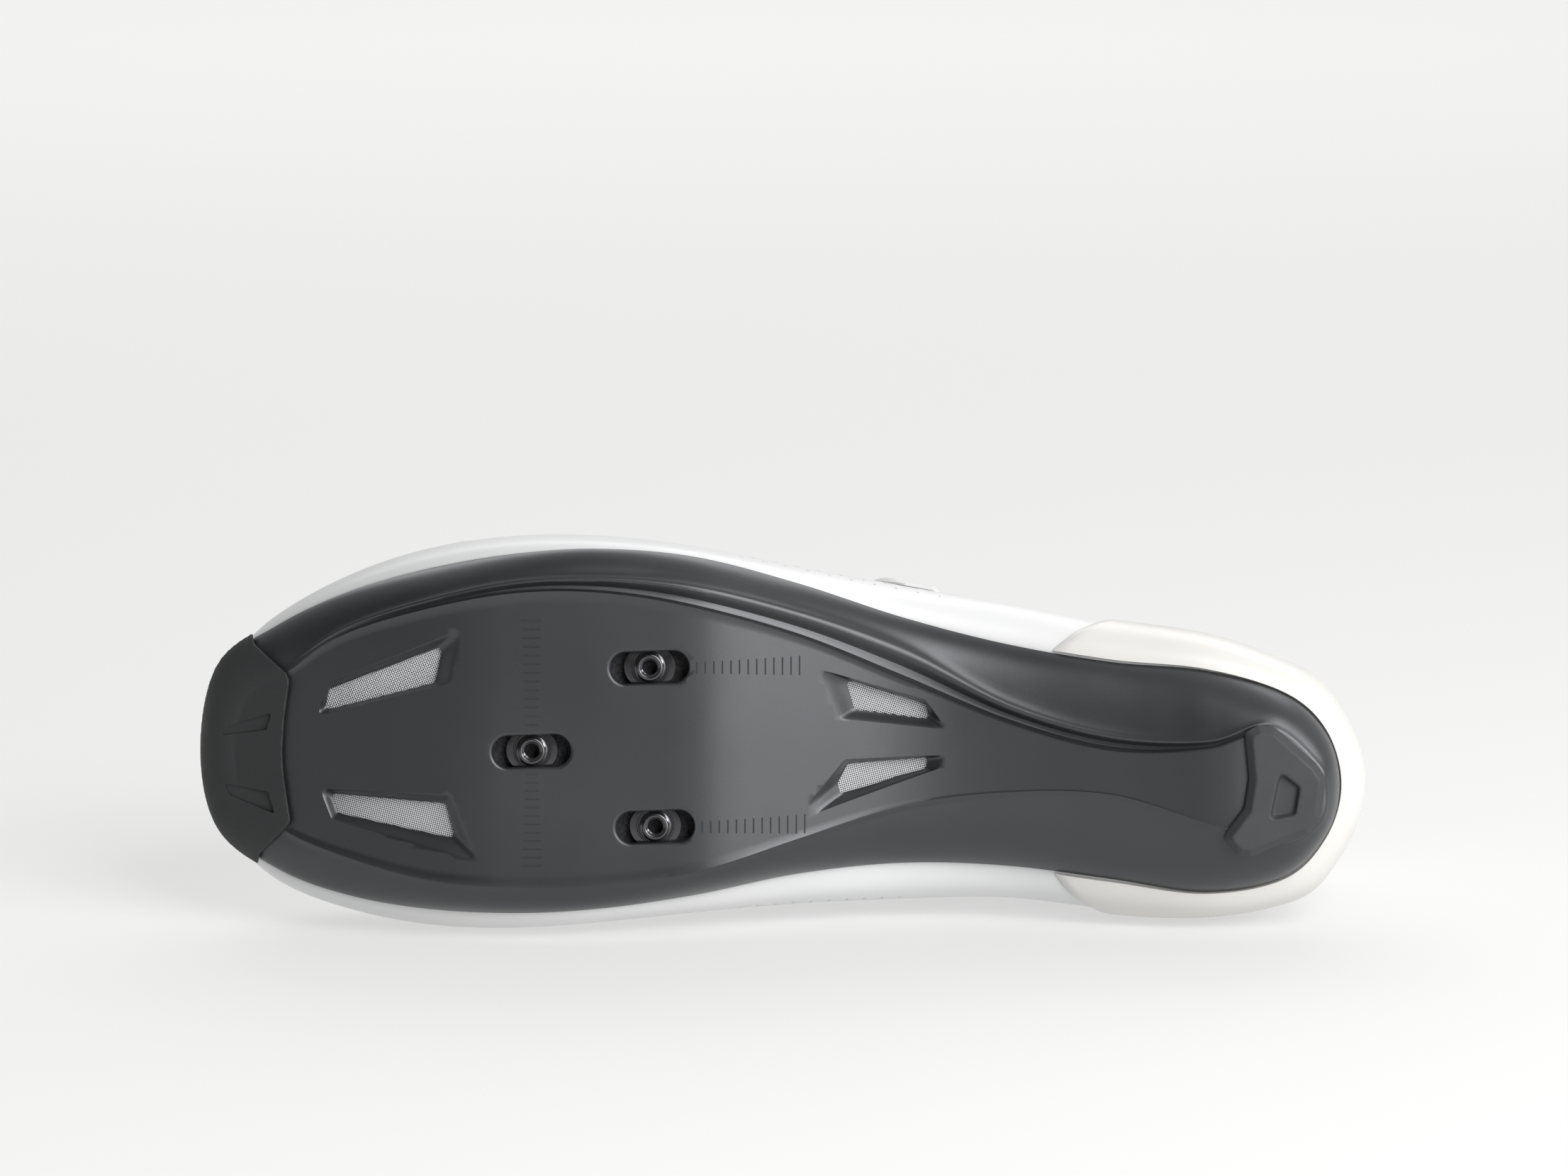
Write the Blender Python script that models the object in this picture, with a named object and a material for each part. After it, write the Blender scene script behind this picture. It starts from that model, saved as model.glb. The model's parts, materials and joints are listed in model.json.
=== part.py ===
"""Left road cycling shoe, lying on its inner side.

The shoe is modelled in its own frame, in metres: X runs forward from the heel end of the
sole, Y is sideways (outer side positive) and Z is up from the ground plane that it would
stand on. An empty then lays it on its inner side, sole towards -Y, toe towards -X.
"""
import math
from collections import namedtuple

import bmesh
import bpy
import numpy as np
from mathutils import Matrix, Vector

# Driving sizes
SOLE_LENGTH = 0.2876
BALL_WIDTH = 0.0907
ARCH_RISE = 0.0145
TOE_SPRING = 0.0288
BELLY_RISE = 0.0397
THROAT_RISE = 0.0933

# Walls and clearances
GAP = 0.0003
LOOSE_GAP = 0.0006
SHELL = 0.0024
SHELL_RIM = 0.0014
WALL = 0.0020
INSOLE = 0.0030
TONGUE = 0.0030
STRAP = 0.0015
CUP = 0.0012
BUMPER = 0.0012

# Sole flank, groove and lip
FLANK_ROUND = 0.75
GROOVE_DEPTH = 0.0011
LIP_PROUD = 0.0004

# Cleat fixing: three threaded plates in slots, bolts M5
BOLTS_APART = 0.0400
BOLTS_AHEAD = 0.0302
CLEAT_CENTRE = 0.602
CLEAT_SIDE = 0.0010
CLEAT_TURN = math.radians(1.9)
SLOT_LENGTH = 0.0195
SLOT_WIDTH = 0.0080
COLLAR_RADIUS = 0.00325
BORE_RADIUS = 0.0022
FLANGE_LENGTH = 0.0130
FLANGE_WIDTH = 0.0105
FLANGE = 0.0013
COLLAR_RECESS = 0.0008

# Heel pad
PAD = 0.0033
PAD_BEVEL = 0.0019
PAD_RECESS = 0.0016
PAD_RECESS_TAPER = 0.86

# Vents and bumper marks
PANE = 0.0006
PANE_MARGIN = 0.0018
VENT_CORNER = 0.0016
WINDOW_CORNER = 0.7
MARK_DEPTH = 0.0006

# How finely the curved walls are divided
STEPS_PER_ROW = 2
ARC_STEPS = 2
OUTLINE_SPACING = 0.007

# Lines of the upper's wall above the rim, place 0: 1 is the belly, 2 the collar or throat edge
UPPER_PLACES = (0.38, 0.70, 1.0, 1.22, 1.44, 1.64, 1.83, 2.0)

# Rows around the shoe: heel end, outer side to the toe, toe tip, inner side back to the heel.
# along is a share of SOLE_LENGTH, out of BALL_WIDTH; rises are shares of TOE_SPRING,
# BELLY_RISE and THROAT_RISE. rim is the sole's edge, edge the platform's, belly the widest
# place of the upper, top its collar or throat edge; lip is the groove's width on the sole.
Row = namedtuple(
    "Row",
    "rim_along rim_out rim_rise edge_along edge_out lip "
    "belly_along belly_out belly_rise top_along top_out top_rise fullness",
)
ROWS = [
    Row(0.000, -0.106, 0.57, 0.018, -0.104, 0.010, -0.028, -0.120, 0.76, -0.010, -0.115, 0.926, 0.10),
    Row(0.013, 0.041, 0.55, 0.025, -0.039, 0.010, 0.008, 0.138, 0.74, 0.007, 0.060, 0.894, 0.10),
    Row(0.050, 0.147, 0.53, 0.066, 0.061, 0.012, 0.043, 0.208, 0.73, 0.043, 0.148, 0.830, 0.15),
    Row(0.119, 0.210, 0.53, 0.119, 0.004, 0.016, 0.114, 0.291, 0.73, 0.112, 0.219, 0.734, 0.20),
    Row(0.202, 0.232, 0.60, 0.202, -0.005, 0.028, 0.199, 0.324, 0.78, 0.195, 0.246, 0.707, 0.25),
    Row(0.293, 0.279, 0.72, 0.292, 0.067, 0.033, 0.290, 0.380, 0.86, 0.275, 0.235, 0.819, 0.45),
    Row(0.384, 0.353, 0.74, 0.385, 0.186, 0.055, 0.382, 0.428, 0.91, 0.340, 0.181, 0.989, 0.75),
    Row(0.475, 0.451, 0.59, 0.475, 0.310, 0.044, 0.474, 0.486, 0.78, 0.423, 0.159, 0.963, 0.85),
    Row(0.565, 0.529, 0.40, 0.565, 0.396, 0.037, 0.566, 0.549, 0.65, 0.496, 0.146, 0.883, 0.90),
    Row(0.648, 0.554, 0.29, 0.647, 0.438, 0.026, 0.651, 0.581, 0.59, 0.554, 0.135, 0.809, 0.90),
    Row(0.724, 0.539, 0.31, 0.723, 0.436, 0.020, 0.728, 0.579, 0.60, 0.592, 0.120, 0.761, 0.90),
    Row(0.801, 0.494, 0.41, 0.799, 0.390, 0.016, 0.806, 0.539, 0.69, 0.616, 0.093, 0.723, 0.88),
    Row(0.871, 0.426, 0.57, 0.872, 0.313, 0.014, 0.877, 0.458, 0.82, 0.627, 0.069, 0.697, 0.85),
    Row(0.933, 0.331, 0.76, 0.922, 0.206, 0.012, 0.940, 0.344, 0.94, 0.631, 0.053, 0.686, 0.80),
    Row(0.984, 0.210, 0.91, 0.958, 0.126, 0.012, 0.975, 0.225, 0.98, 0.634, 0.038, 0.682, 0.80),
    Row(1.000, -0.027, 1.00, 0.970, -0.022, 0.012, 0.995, -0.027, 0.99, 0.635, 0.025, 0.681, 0.80),
    Row(0.985, -0.239, 0.91, 0.960, -0.159, 0.012, 0.977, -0.263, 0.98, 0.634, 0.014, 0.682, 0.80),
    Row(0.934, -0.355, 0.76, 0.924, -0.241, 0.012, 0.942, -0.400, 0.94, 0.631, 0.003, 0.686, 0.80),
    Row(0.873, -0.418, 0.57, 0.872, -0.302, 0.014, 0.879, -0.473, 0.82, 0.627, -0.011, 0.697, 0.85),
    Row(0.802, -0.451, 0.41, 0.799, -0.357, 0.014, 0.807, -0.514, 0.69, 0.616, -0.024, 0.723, 0.88),
    Row(0.725, -0.459, 0.31, 0.723, -0.376, 0.014, 0.729, -0.520, 0.60, 0.592, -0.042, 0.763, 0.90),
    Row(0.649, -0.446, 0.29, 0.647, -0.370, 0.014, 0.652, -0.503, 0.59, 0.554, -0.071, 0.811, 0.90),
    Row(0.565, -0.413, 0.43, 0.565, -0.332, 0.014, 0.567, -0.480, 0.65, 0.496, -0.110, 0.886, 0.90),
    Row(0.475, -0.363, 0.66, 0.475, -0.248, 0.014, 0.475, -0.463, 0.78, 0.423, -0.159, 0.968, 0.85),
    Row(0.383, -0.341, 0.86, 0.385, -0.166, 0.014, 0.382, -0.459, 0.91, 0.340, -0.241, 1.000, 0.75),
    Row(0.291, -0.349, 0.86, 0.292, -0.127, 0.014, 0.289, -0.450, 0.88, 0.275, -0.425, 0.830, 0.40),
    Row(0.201, -0.378, 0.66, 0.202, -0.129, 0.014, 0.197, -0.482, 0.78, 0.195, -0.466, 0.723, 0.20),
    Row(0.118, -0.409, 0.53, 0.119, -0.203, 0.012, 0.112, -0.487, 0.73, 0.112, -0.457, 0.745, 0.20),
    Row(0.049, -0.368, 0.53, 0.054, -0.257, 0.010, 0.043, -0.446, 0.73, 0.043, -0.378, 0.830, 0.15),
    Row(0.012, -0.249, 0.55, 0.022, -0.192, 0.010, 0.009, -0.376, 0.74, 0.007, -0.290, 0.894, 0.10),
]
ROUND = len(ROWS)
TOE_ROW = ROUND // 2
LAST_SIDE_ROW = 13
FIRST_SIDE_ROW = TOE_ROW - LAST_SIDE_ROW

# Outer side rows over which the groove runs, with its depth as a share
GROOVE = ((2.0, 0.0), (3.5, 0.7), (5.0, 1.0), (8.0, 1.0), (9.5, 0.5), (11.0, 0.0))

# Height of the platform along the sole: (share of SOLE_LENGTH, share of ARCH_RISE)
SEAT_SHARE = 0.25
CLEAT_SHARE = 0.10
PLATFORM = (
    (0.000, SEAT_SHARE), (0.109, SEAT_SHARE), (0.129, 0.38), (0.192, 0.62), (0.254, 0.83),
    (0.316, 0.97), (0.357, 1.00), (0.406, 0.91), (0.454, 0.68), (0.502, 0.37), (0.537, 0.17),
    (0.565, CLEAT_SHARE), (0.758, CLEAT_SHARE), (0.792, 0.21), (0.834, 0.46), (0.875, 0.76),
    (0.910, 1.03), (0.944, 1.31), (0.979, 1.59), (1.000, 1.76),
)

# Corners of the vents, (along, out) as shares: the recess's mouth, then its window
VENTS = {
    "front_lateral": (
        ((0.898, 0.083), (0.884, 0.184), (0.767, 0.340), (0.777, 0.188)),
        ((0.890, 0.099), (0.886, 0.160), (0.784, 0.289), (0.791, 0.186)),
    ),
    "front_medial": (
        ((0.895, -0.116), (0.777, -0.118), (0.752, -0.306), (0.884, -0.202)),
        ((0.885, -0.131), (0.782, -0.147), (0.774, -0.245), (0.879, -0.186)),
    ),
    "rear_lateral": (
        ((0.459, 0.222), (0.364, 0.130), (0.344, 0.044), (0.440, 0.079)),
        ((0.434, 0.188), (0.363, 0.114), (0.360, 0.072), (0.426, 0.102)),
    ),
    "rear_medial": (
        ((0.347, -0.025), (0.351, -0.062), (0.461, -0.184), (0.469, -0.162), (0.435, -0.033)),
        ((0.361, -0.034), (0.363, -0.064), (0.439, -0.134), (0.441, -0.103), (0.432, -0.048)),
    ),
}

# Back line of the toe bumper from the outer to the inner side, and its two tapered marks
BUMPER_BACK = (
    (0.954, 0.281), (0.924, 0.203), (0.921, 0.181), (0.926, 0.073), (0.928, -0.015),
    (0.927, -0.081), (0.924, -0.148), (0.921, -0.209), (0.923, -0.223), (0.950, -0.309),
)
BUMPER_MARKS = (
    ((0.984, 0.021), (0.976, 0.050), (0.937, 0.092), (0.942, 0.042)),
    ((0.981, -0.113), (0.941, -0.131), (0.935, -0.193), (0.976, -0.145)),
)

# Heel pad outline, its chamfered face and the trapezoid recess, (along, out) as shares
PAD_OUTLINE = (
    (0.088, 0.052), (0.076, 0.071), (0.062, 0.066), (0.026, -0.033), (0.017, -0.075),
    (0.021, -0.186), (0.032, -0.228), (0.082, -0.292), (0.094, -0.288), (0.107, -0.240),
    (0.088, -0.158), (0.084, -0.078),
)
PAD_FACE_INSET = 0.0017
PAD_RECESS_OUTLINE = ((0.058, -0.052), (0.040, -0.096), (0.044, -0.176), (0.067, -0.190))

# Straps: rows of the upper that they cover at their outer anchor, over the throat and at
# their inner end, and how far down each side they reach (1 is the belly, 2 the throat edge)
Strap = namedtuple("Strap", "outer_rows throat_rows inner_rows outer_reach inner_reach")
STRAPS = {
    "strap_instep": Strap((5.60, 6.12), (6.15, 7.25), (6.10, 7.00), 0.95, 1.35),
    "strap_forefoot": Strap((7.75, 8.45), (8.00, 9.00), (7.95, 8.85), 1.30, 1.35),
}
THROAT_ARCH = 0.0030

# Tongue: rows that it lies under, its reach under the throat edges, and its free end as
# (share of SOLE_LENGTH back, share of THROAT_RISE up, share of its width)
TONGUE_ROWS = (6, 10)
TONGUE_REACH = 1.83
TONGUE_END = (
    (0.014, 0.004, 0.72), (0.034, 0.060, 0.74), (0.056, 0.150, 0.78), (0.068, 0.240, 0.66),
)

# Heel cup: half its length in rows, and how high it reaches behind and at its front edges
CUP_ROWS = 4.55
CUP_FOOT = 0.42
CUP_TOP = 1.52
CUP_FRONT_TOP = 1.02
CUP_FRONT_SLANT = 0.55

INSOLE_INSET = 0.0076

# Densities for the balance of the shoe as it lies, kg per cubic metre
DENSITY = {"composite": 1500.0, "rubber": 1150.0, "upper": 850.0, "foam": 250.0, "metal": 2700.0}


def length(share):
    return share * SOLE_LENGTH


def width(share):
    return share * BALL_WIDTH


def unit(vector):
    return vector / max(np.linalg.norm(vector), 1e-12)


def along_curve(points, position):
    """Point on the closed smooth curve through the rows, at a fractional row."""
    first = math.floor(position)
    t = position - first
    a, b, c, d = (points[(first + step) % ROUND] for step in (-1, 0, 1, 2))
    return 0.5 * (2 * b + (c - a) * t + (2 * a - 5 * b + 4 * c - d) * t**2 + (3 * b - a - 3 * c + d) * t**3)


def platform_rise(x):
    shares, rises = zip(*PLATFORM)
    return float(np.interp(x / SOLE_LENGTH, shares, rises)) * ARCH_RISE


def row_points(part, rise=None):
    """Control points of one line around the shoe, such as its rim."""
    points = []
    for row in ROWS:
        x = length(getattr(row, part + "_along"))
        y = width(getattr(row, part + "_out"))
        z = getattr(row, part + "_rise") * rise if rise else platform_rise(x)
        points.append(np.array((x, y, z)))
    return points


RIM = row_points("rim", TOE_SPRING)
EDGE = row_points("edge")
BELLY = row_points("belly", BELLY_RISE)
TOP = row_points("top", THROAT_RISE)
FULLNESS = [np.array(row.fullness) for row in ROWS]
LIP = [np.array(width(row.lip)) for row in ROWS]


def edge_point(row):
    point = along_curve(EDGE, row)
    point[2] = platform_rise(point[0])
    return point


def flank_point(row, reach):
    """Smooth underside between the platform's edge, reach 0, and the rim, reach 1."""
    edge = edge_point(row)
    rim = along_curve(RIM, row)
    turn = reach * math.pi / 2
    outward = (1 - FLANK_ROUND) * reach + FLANK_ROUND * math.sin(turn)
    upward = (1 - FLANK_ROUND) * reach + FLANK_ROUND * (1 - math.cos(turn))
    return edge + (rim - edge) * np.array((outward, outward, upward))


def platform_normal(x):
    step = 0.002
    slope = (platform_rise(x + step) - platform_rise(x - step)) / (2 * step)
    return unit(np.array((-slope, 0.0, 1.0)))


def flank_normal(row, reach):
    """Direction from the flank into the shoe."""
    low, high = max(reach - 0.02, 0.0), min(reach + 0.02, 1.0)
    across = flank_point(row, high) - flank_point(row, low)
    around = flank_point(row + 0.05, reach) - flank_point(row - 0.05, reach)
    normal = unit(np.cross(around, across))
    if reach < 0.01:
        normal = unit(normal + platform_normal(flank_point(row, 0.0)[0]))
    return normal


def flank_lifted(row, reach, lift):
    return flank_point(row, reach) + lift * flank_normal(row, reach)


def belly_section(row, place):
    """Upper from the rim, place 0, to its belly, 1, and up to the collar or throat edge, 2."""
    rim, belly, top = (along_curve(line, row) for line in (RIM, BELLY, TOP))
    if place <= 1:
        turn = place * math.pi / 2
        outward, upward = math.sin(turn), 1 - math.cos(turn)
        return rim + (belly - rim) * np.array((outward, outward, upward))
    fullness = float(along_curve(FULLNESS, row))
    turn = (place - 1) * math.pi / 2
    inward = (1 - fullness) * (place - 1) + fullness * (1 - math.cos(turn))
    upward = (1 - fullness) * (place - 1) + fullness * math.sin(turn)
    return belly + (top - belly) * np.array((inward, inward, upward))


def upper_normal(row, place):
    """Direction from the upper's outer face away from the foot."""
    low, high = max(place - 0.03, 0.0), min(place + 0.03, 2.0)
    up = belly_section(row, high) - belly_section(row, low)
    around = belly_section(row + 0.05, place) - belly_section(row - 0.05, place)
    return unit(np.cross(up, around))


def upper_offset(row, place, offset):
    return belly_section(row, place) + offset * upper_normal(row, place)


def closed_shell(name, lower, upper, quads):
    """Solid between two sheets of matching points, walled along the sheet's open edges."""
    count = len(lower)
    mesh = bmesh.new()
    corners = [mesh.verts.new(Vector(point)) for point in list(lower) + list(upper)]
    sides = {}
    for quad in quads:
        # Neighbouring sheets split their faces alike, so that they keep their gap
        for triangle in (quad[:3], (quad[0],) + quad[2:])[: len(quad) - 2]:
            mesh.faces.new([corners[i] for i in triangle])
            mesh.faces.new([corners[i + count] for i in reversed(triangle)])
        for start, end in zip(quad, quad[1:] + quad[:1]):
            key = (min(start, end), max(start, end))
            sides.setdefault(key, []).append((start, end))
    for uses in sides.values():
        if len(uses) == 1:
            start, end = uses[0]
            wall = (start, start + count, end + count, end)
            mesh.faces.new([corners[i] for i in wall])
    bmesh.ops.delete(mesh, geom=[v for v in mesh.verts if not v.link_faces], context="VERTS")
    return mesh_object(name, mesh)


def mesh_object(name, mesh):
    bmesh.ops.recalc_face_normals(mesh, faces=mesh.faces)
    data = bpy.data.meshes.new(name)
    mesh.to_mesh(data)
    mesh.free()
    data.shade_smooth()
    data.set_sharp_from_angle(angle=math.radians(35))
    item = bpy.data.objects.new(name, data)
    bpy.context.collection.objects.link(item)
    return item


def grid_quads(rows, columns, wrap=False):
    """Faces of a sheet of points kept row by row, closed around if wrap is set."""
    quads = []
    for i in range(rows if wrap else rows - 1):
        for j in range(columns - 1):
            a = i * columns + j
            b = ((i + 1) % rows) * columns + j
            quads.append((a, b, b + 1, a + 1))
    return quads


def finish(item, name, colour, roughness, metallic=0.0):
    material = bpy.data.materials.get(name) or bpy.data.materials.new(name)
    material.use_nodes = True
    shader = material.node_tree.nodes["Principled BSDF"]
    shader.inputs["Base Color"].default_value = (*colour, 1.0)
    shader.inputs["Roughness"].default_value = roughness
    shader.inputs["Metallic"].default_value = metallic
    item.data.materials.append(material)


def cut(item, cutter, operation="DIFFERENCE"):
    cutter.hide_render = True
    cutter.display_type = "WIRE"
    modifier = item.modifiers.new(cutter.name, "BOOLEAN")
    modifier.operation = operation
    modifier.solver = "EXACT"
    modifier.object = cutter


def stacked_loops(name, loops):
    """Solid through closed loops of matching points, capped at both ends."""
    mesh = bmesh.new()
    rings = [[mesh.verts.new(Vector(point)) for point in loop] for loop in loops]
    size = len(rings[0])
    for below, above in zip(rings, rings[1:]):
        for i in range(size):
            j = (i + 1) % size
            mesh.faces.new((below[i], below[j], above[j], above[i]))
    caps = [mesh.faces.new(list(reversed(rings[0]))), mesh.faces.new(rings[-1])]
    bmesh.ops.triangulate(mesh, faces=caps)
    return mesh_object(name, mesh)


def rounded_outline(corners, radius):
    """Points round a polygon with rounded corners; the same count for like polygons."""
    corners = [np.array(corner) for corner in corners]
    points = []
    count = len(corners)
    for i, corner in enumerate(corners):
        before = unit(corners[i - 1] - corner)
        after = unit(corners[(i + 1) % count] - corner)
        cosine = float(np.clip(before @ after, -1, 1))
        cut_back = min(radius / math.tan(math.acos(cosine) / 2), 3 * radius)
        start, end = corner + before * cut_back, corner + after * cut_back
        for step in range(ARC_STEPS + 1):
            t = step / ARC_STEPS
            points.append((1 - t) ** 2 * start + 2 * t * (1 - t) * corner + t**2 * end)
        stretch = corners[(i + 1) % count] - corner
        middle_points = int(np.linalg.norm(stretch) // OUTLINE_SPACING)
        next_start = corners[(i + 1) % count] - after * cut_back
        for step in range(1, middle_points):
            points.append(end + (next_start - end) * step / middle_points)
    return points


def like_outline(mouth_corners, window_corners, radius):
    """Mouth and window outlines with matching points, spaced as the mouth asks."""
    mouth = rounded_outline(mouth_corners, radius)
    spacing_counts = []
    count = len(mouth_corners)
    for i in range(count):
        stretch = np.linalg.norm(np.subtract(mouth_corners[(i + 1) % count], mouth_corners[i]))
        spacing_counts.append(int(stretch // OUTLINE_SPACING))
    window = []
    corners = [np.array(corner) for corner in window_corners]
    for i, corner in enumerate(corners):
        ahead = corners[(i + 1) % count]
        before, after = unit(corners[i - 1] - corner), unit(ahead - corner)
        reach = WINDOW_CORNER * radius
        start, end = corner + before * reach, corner + after * reach
        for step in range(ARC_STEPS + 1):
            t = step / ARC_STEPS
            window.append((1 - t) ** 2 * start + 2 * t * (1 - t) * corner + t**2 * end)
        next_start = ahead - after * reach
        for step in range(1, spacing_counts[i]):
            window.append(end + (next_start - end) * step / spacing_counts[i])
    return mouth, window


def places(pairs):
    return [(length(x), width(y)) for x, y in pairs]


def on_platform(outline, lift):
    return [(x, y, platform_rise(x) + lift) for x, y in outline]


def at_height(outline, z):
    return [(x, y, z) for x, y in outline]


def side_positions():
    steps = (LAST_SIDE_ROW - FIRST_SIDE_ROW) * STEPS_PER_ROW
    return [FIRST_SIDE_ROW + i / STEPS_PER_ROW for i in range(steps + 1)]


def groove_share(row):
    rows, shares = zip(*GROOVE)
    return float(np.interp(row, rows, shares, left=0.0, right=0.0)) if row <= rows[-1] else 0.0


def flank_reaches(row):
    """Reach of each ring of the flank: groove bottom, lip, two between and the rim."""
    span = np.linalg.norm((along_curve(RIM, row) - edge_point(row))[:2])
    lip = min(0.45, 0.8 * float(along_curve(LIP, row)) / span)
    return (0.4 * lip, lip, lip + 0.35 * (1 - lip), lip + 0.7 * (1 - lip), 1.0)


def sole_sheet(lift, lift_at_rim, relief=False):
    """Points and faces of the underside, lifted into the shoe."""
    columns = (2 * (TOE_ROW - LAST_SIDE_ROW)) * STEPS_PER_ROW + 1
    points, index = [], {}

    def add(key, point):
        index[key] = len(points)
        points.append(point)

    total = ROUND * STEPS_PER_ROW
    for k in range(total):
        row = k / STEPS_PER_ROW
        add(("ring", k, 0), flank_lifted(row, 0.0, lift))
        for ring, reach in enumerate(flank_reaches(row), start=1):
            depth = lift + (lift_at_rim - lift) * reach**2
            if relief and ring == 1:
                depth += GROOVE_DEPTH * groove_share(row)
            if relief and ring == 2:
                depth -= LIP_PROUD * groove_share(row)
            add(("ring", k, ring), flank_lifted(row, reach, depth))

    # Columns of each platform row run from the outer side to the inner side
    heel = [(FIRST_SIDE_ROW * STEPS_PER_ROW - i) % total for i in range(columns)]
    toe = [LAST_SIDE_ROW * STEPS_PER_ROW + i for i in range(columns)]
    ladder = [[index[("ring", k, 0)] for k in heel]]
    for row in side_positions()[1:-1]:
        outer = round(row * STEPS_PER_ROW)
        inner = total - outer
        start, end = edge_point(row), edge_point(ROUND - row)
        line = [index[("ring", outer, 0)]]
        for j in range(1, columns - 1):
            x, y = (start + (end - start) * j / (columns - 1))[:2]
            point = np.array((x, y, platform_rise(x))) + lift * platform_normal(x)
            add(("platform", outer, j), point)
            line.append(index[("platform", outer, j)])
        line.append(index[("ring", inner, 0)])
        ladder.append(line)
    ladder.append([index[("ring", k, 0)] for k in toe])

    quads = []
    for k in range(total):
        for ring in range(5):
            after = (k + 1) % total
            quads.append(
                (
                    index[("ring", k, ring)],
                    index[("ring", after, ring)],
                    index[("ring", after, ring + 1)],
                    index[("ring", k, ring + 1)],
                )
            )
    for near, far in zip(ladder, ladder[1:]):
        for j in range(columns - 1):
            quads.append((near[j], near[j + 1], far[j + 1], far[j]))
    return points, quads


def bolt_centres():
    """Centres of the cleat bolts: front, rear outer, rear inner."""
    centre = np.array((length(CLEAT_CENTRE), CLEAT_SIDE))
    forward = np.array((math.cos(CLEAT_TURN), -math.sin(CLEAT_TURN)))
    outward = np.array((math.sin(CLEAT_TURN), math.cos(CLEAT_TURN)))
    return {
        "front": centre + forward * BOLTS_AHEAD,
        "rear_lateral": centre + outward * BOLTS_APART / 2,
        "rear_medial": centre - outward * BOLTS_APART / 2,
    }


def stadium(centre, total_length, total_width, count=20):
    """Long round-ended outline along the shoe, turned as the cleat is."""
    straight = (total_length - total_width) / 2
    points = []
    for i in range(count):
        angle = 2 * math.pi * (i + 0.5) / count
        x = math.copysign(straight, math.cos(angle)) + total_width / 2 * math.cos(angle)
        y = total_width / 2 * math.sin(angle)
        c, s = math.cos(-CLEAT_TURN), math.sin(-CLEAT_TURN)
        points.append((centre[0] + c * x - s * y, centre[1] + s * x + c * y))
    return points


def make_outsole():
    lower, quads = sole_sheet(0.0, 0.0, relief=True)
    upper, _ = sole_sheet(SHELL, SHELL_RIM)
    sole = closed_shell("outsole", lower, upper, quads)
    finish(sole, "composite", (0.030, 0.031, 0.033), 0.38)
    for name, (mouth, window) in VENTS.items():
        mouth, window = like_outline(places(mouth), places(window), VENT_CORNER)
        loops = [
            on_platform(mouth, -2 * SHELL),
            on_platform(mouth, 0.0),
            on_platform(window, 0.75 * SHELL),
            on_platform(window, 3 * SHELL),
        ]
        cut(sole, stacked_loops("vent_cut_" + name, loops))
    floor = CLEAT_SHARE * ARCH_RISE
    for name, centre in bolt_centres().items():
        outline = stadium(centre, SLOT_LENGTH, SLOT_WIDTH)
        loops = [at_height(outline, floor - 2 * SHELL), at_height(outline, floor + 3 * SHELL)]
        cut(sole, stacked_loops("slot_cut_" + name, loops))
    return sole


def make_bumper():
    near, quads = sole_sheet(-GAP, -GAP)
    far, _ = sole_sheet(-GAP - BUMPER, -GAP - BUMPER)
    behind = length(min(x for x, _ in BUMPER_BACK)) - 0.012
    quads = [quad for quad in quads if all(near[i][0] > behind for i in quad)]
    bumper = closed_shell("toe_bumper", near, far, quads)
    outline = places(BUMPER_BACK)
    ahead, aside = 1.1 * SOLE_LENGTH, BALL_WIDTH
    outline += [(length(1.0), -aside), (ahead, -aside), (ahead, aside), (length(1.0), aside)]
    reach = 3 * TOE_SPRING
    trim = stacked_loops("bumper_trim", [at_height(outline, -reach), at_height(outline, reach)])
    cut(bumper, trim, "INTERSECT")
    for number, corners in enumerate(BUMPER_MARKS):
        mark = rounded_outline(places(corners), 0.4 * VENT_CORNER)
        loops = [on_platform(mark, -4 * BUMPER), on_platform(mark, -GAP - BUMPER + MARK_DEPTH)]
        cut(bumper, stacked_loops(f"bumper_mark_{number}", loops))
    finish(bumper, "rubber", (0.020, 0.020, 0.021), 0.75)
    return bumper


def around_centre(outline, centre, count):
    """Outline resampled at even angles about a point inside it."""
    points = []
    for i in range(count):
        angle = 2 * math.pi * i / count
        ray = np.array((math.cos(angle), math.sin(angle)))
        for start, end in zip(outline, outline[1:] + outline[:1]):
            side = np.subtract(end, start)
            offset = np.subtract(start, centre)
            turn = ray[0] * side[1] - ray[1] * side[0]
            if abs(turn) < 1e-12:
                continue
            reach = (offset[0] * side[1] - offset[1] * side[0]) / turn
            share = (offset[0] * ray[1] - offset[1] * ray[0]) / turn
            if reach > 0 and 0 <= share < 1:
                points.append(tuple(np.array(centre) + ray * reach))
                break
    return points


def make_heel_pad():
    seat = SEAT_SHARE * ARCH_RISE - GAP
    outline = places(PAD_OUTLINE)
    recess = places(PAD_RECESS_OUTLINE)
    centre = np.mean(recess, axis=0)
    count = 32
    outer = around_centre(outline, centre, count)
    inset = []
    for point in outer:
        ray = np.array(point) - centre
        inset.append(tuple(centre + ray * (1 - PAD_FACE_INSET / np.linalg.norm(ray))))
    inner = around_centre(recess, centre, count)
    ground = seat - PAD
    loops = [
        at_height(outer, seat),
        at_height(outer, ground + PAD_BEVEL),
        at_height(inset, ground),
        at_height(inner, ground),
        at_height([tuple(centre + PAD_RECESS_TAPER * (np.array(p) - centre)) for p in inner], ground + PAD_RECESS),
    ]
    pad = stacked_loops("heel_pad", loops)
    finish(pad, "rubber", (0.020, 0.020, 0.021), 0.75)
    return pad


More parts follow.
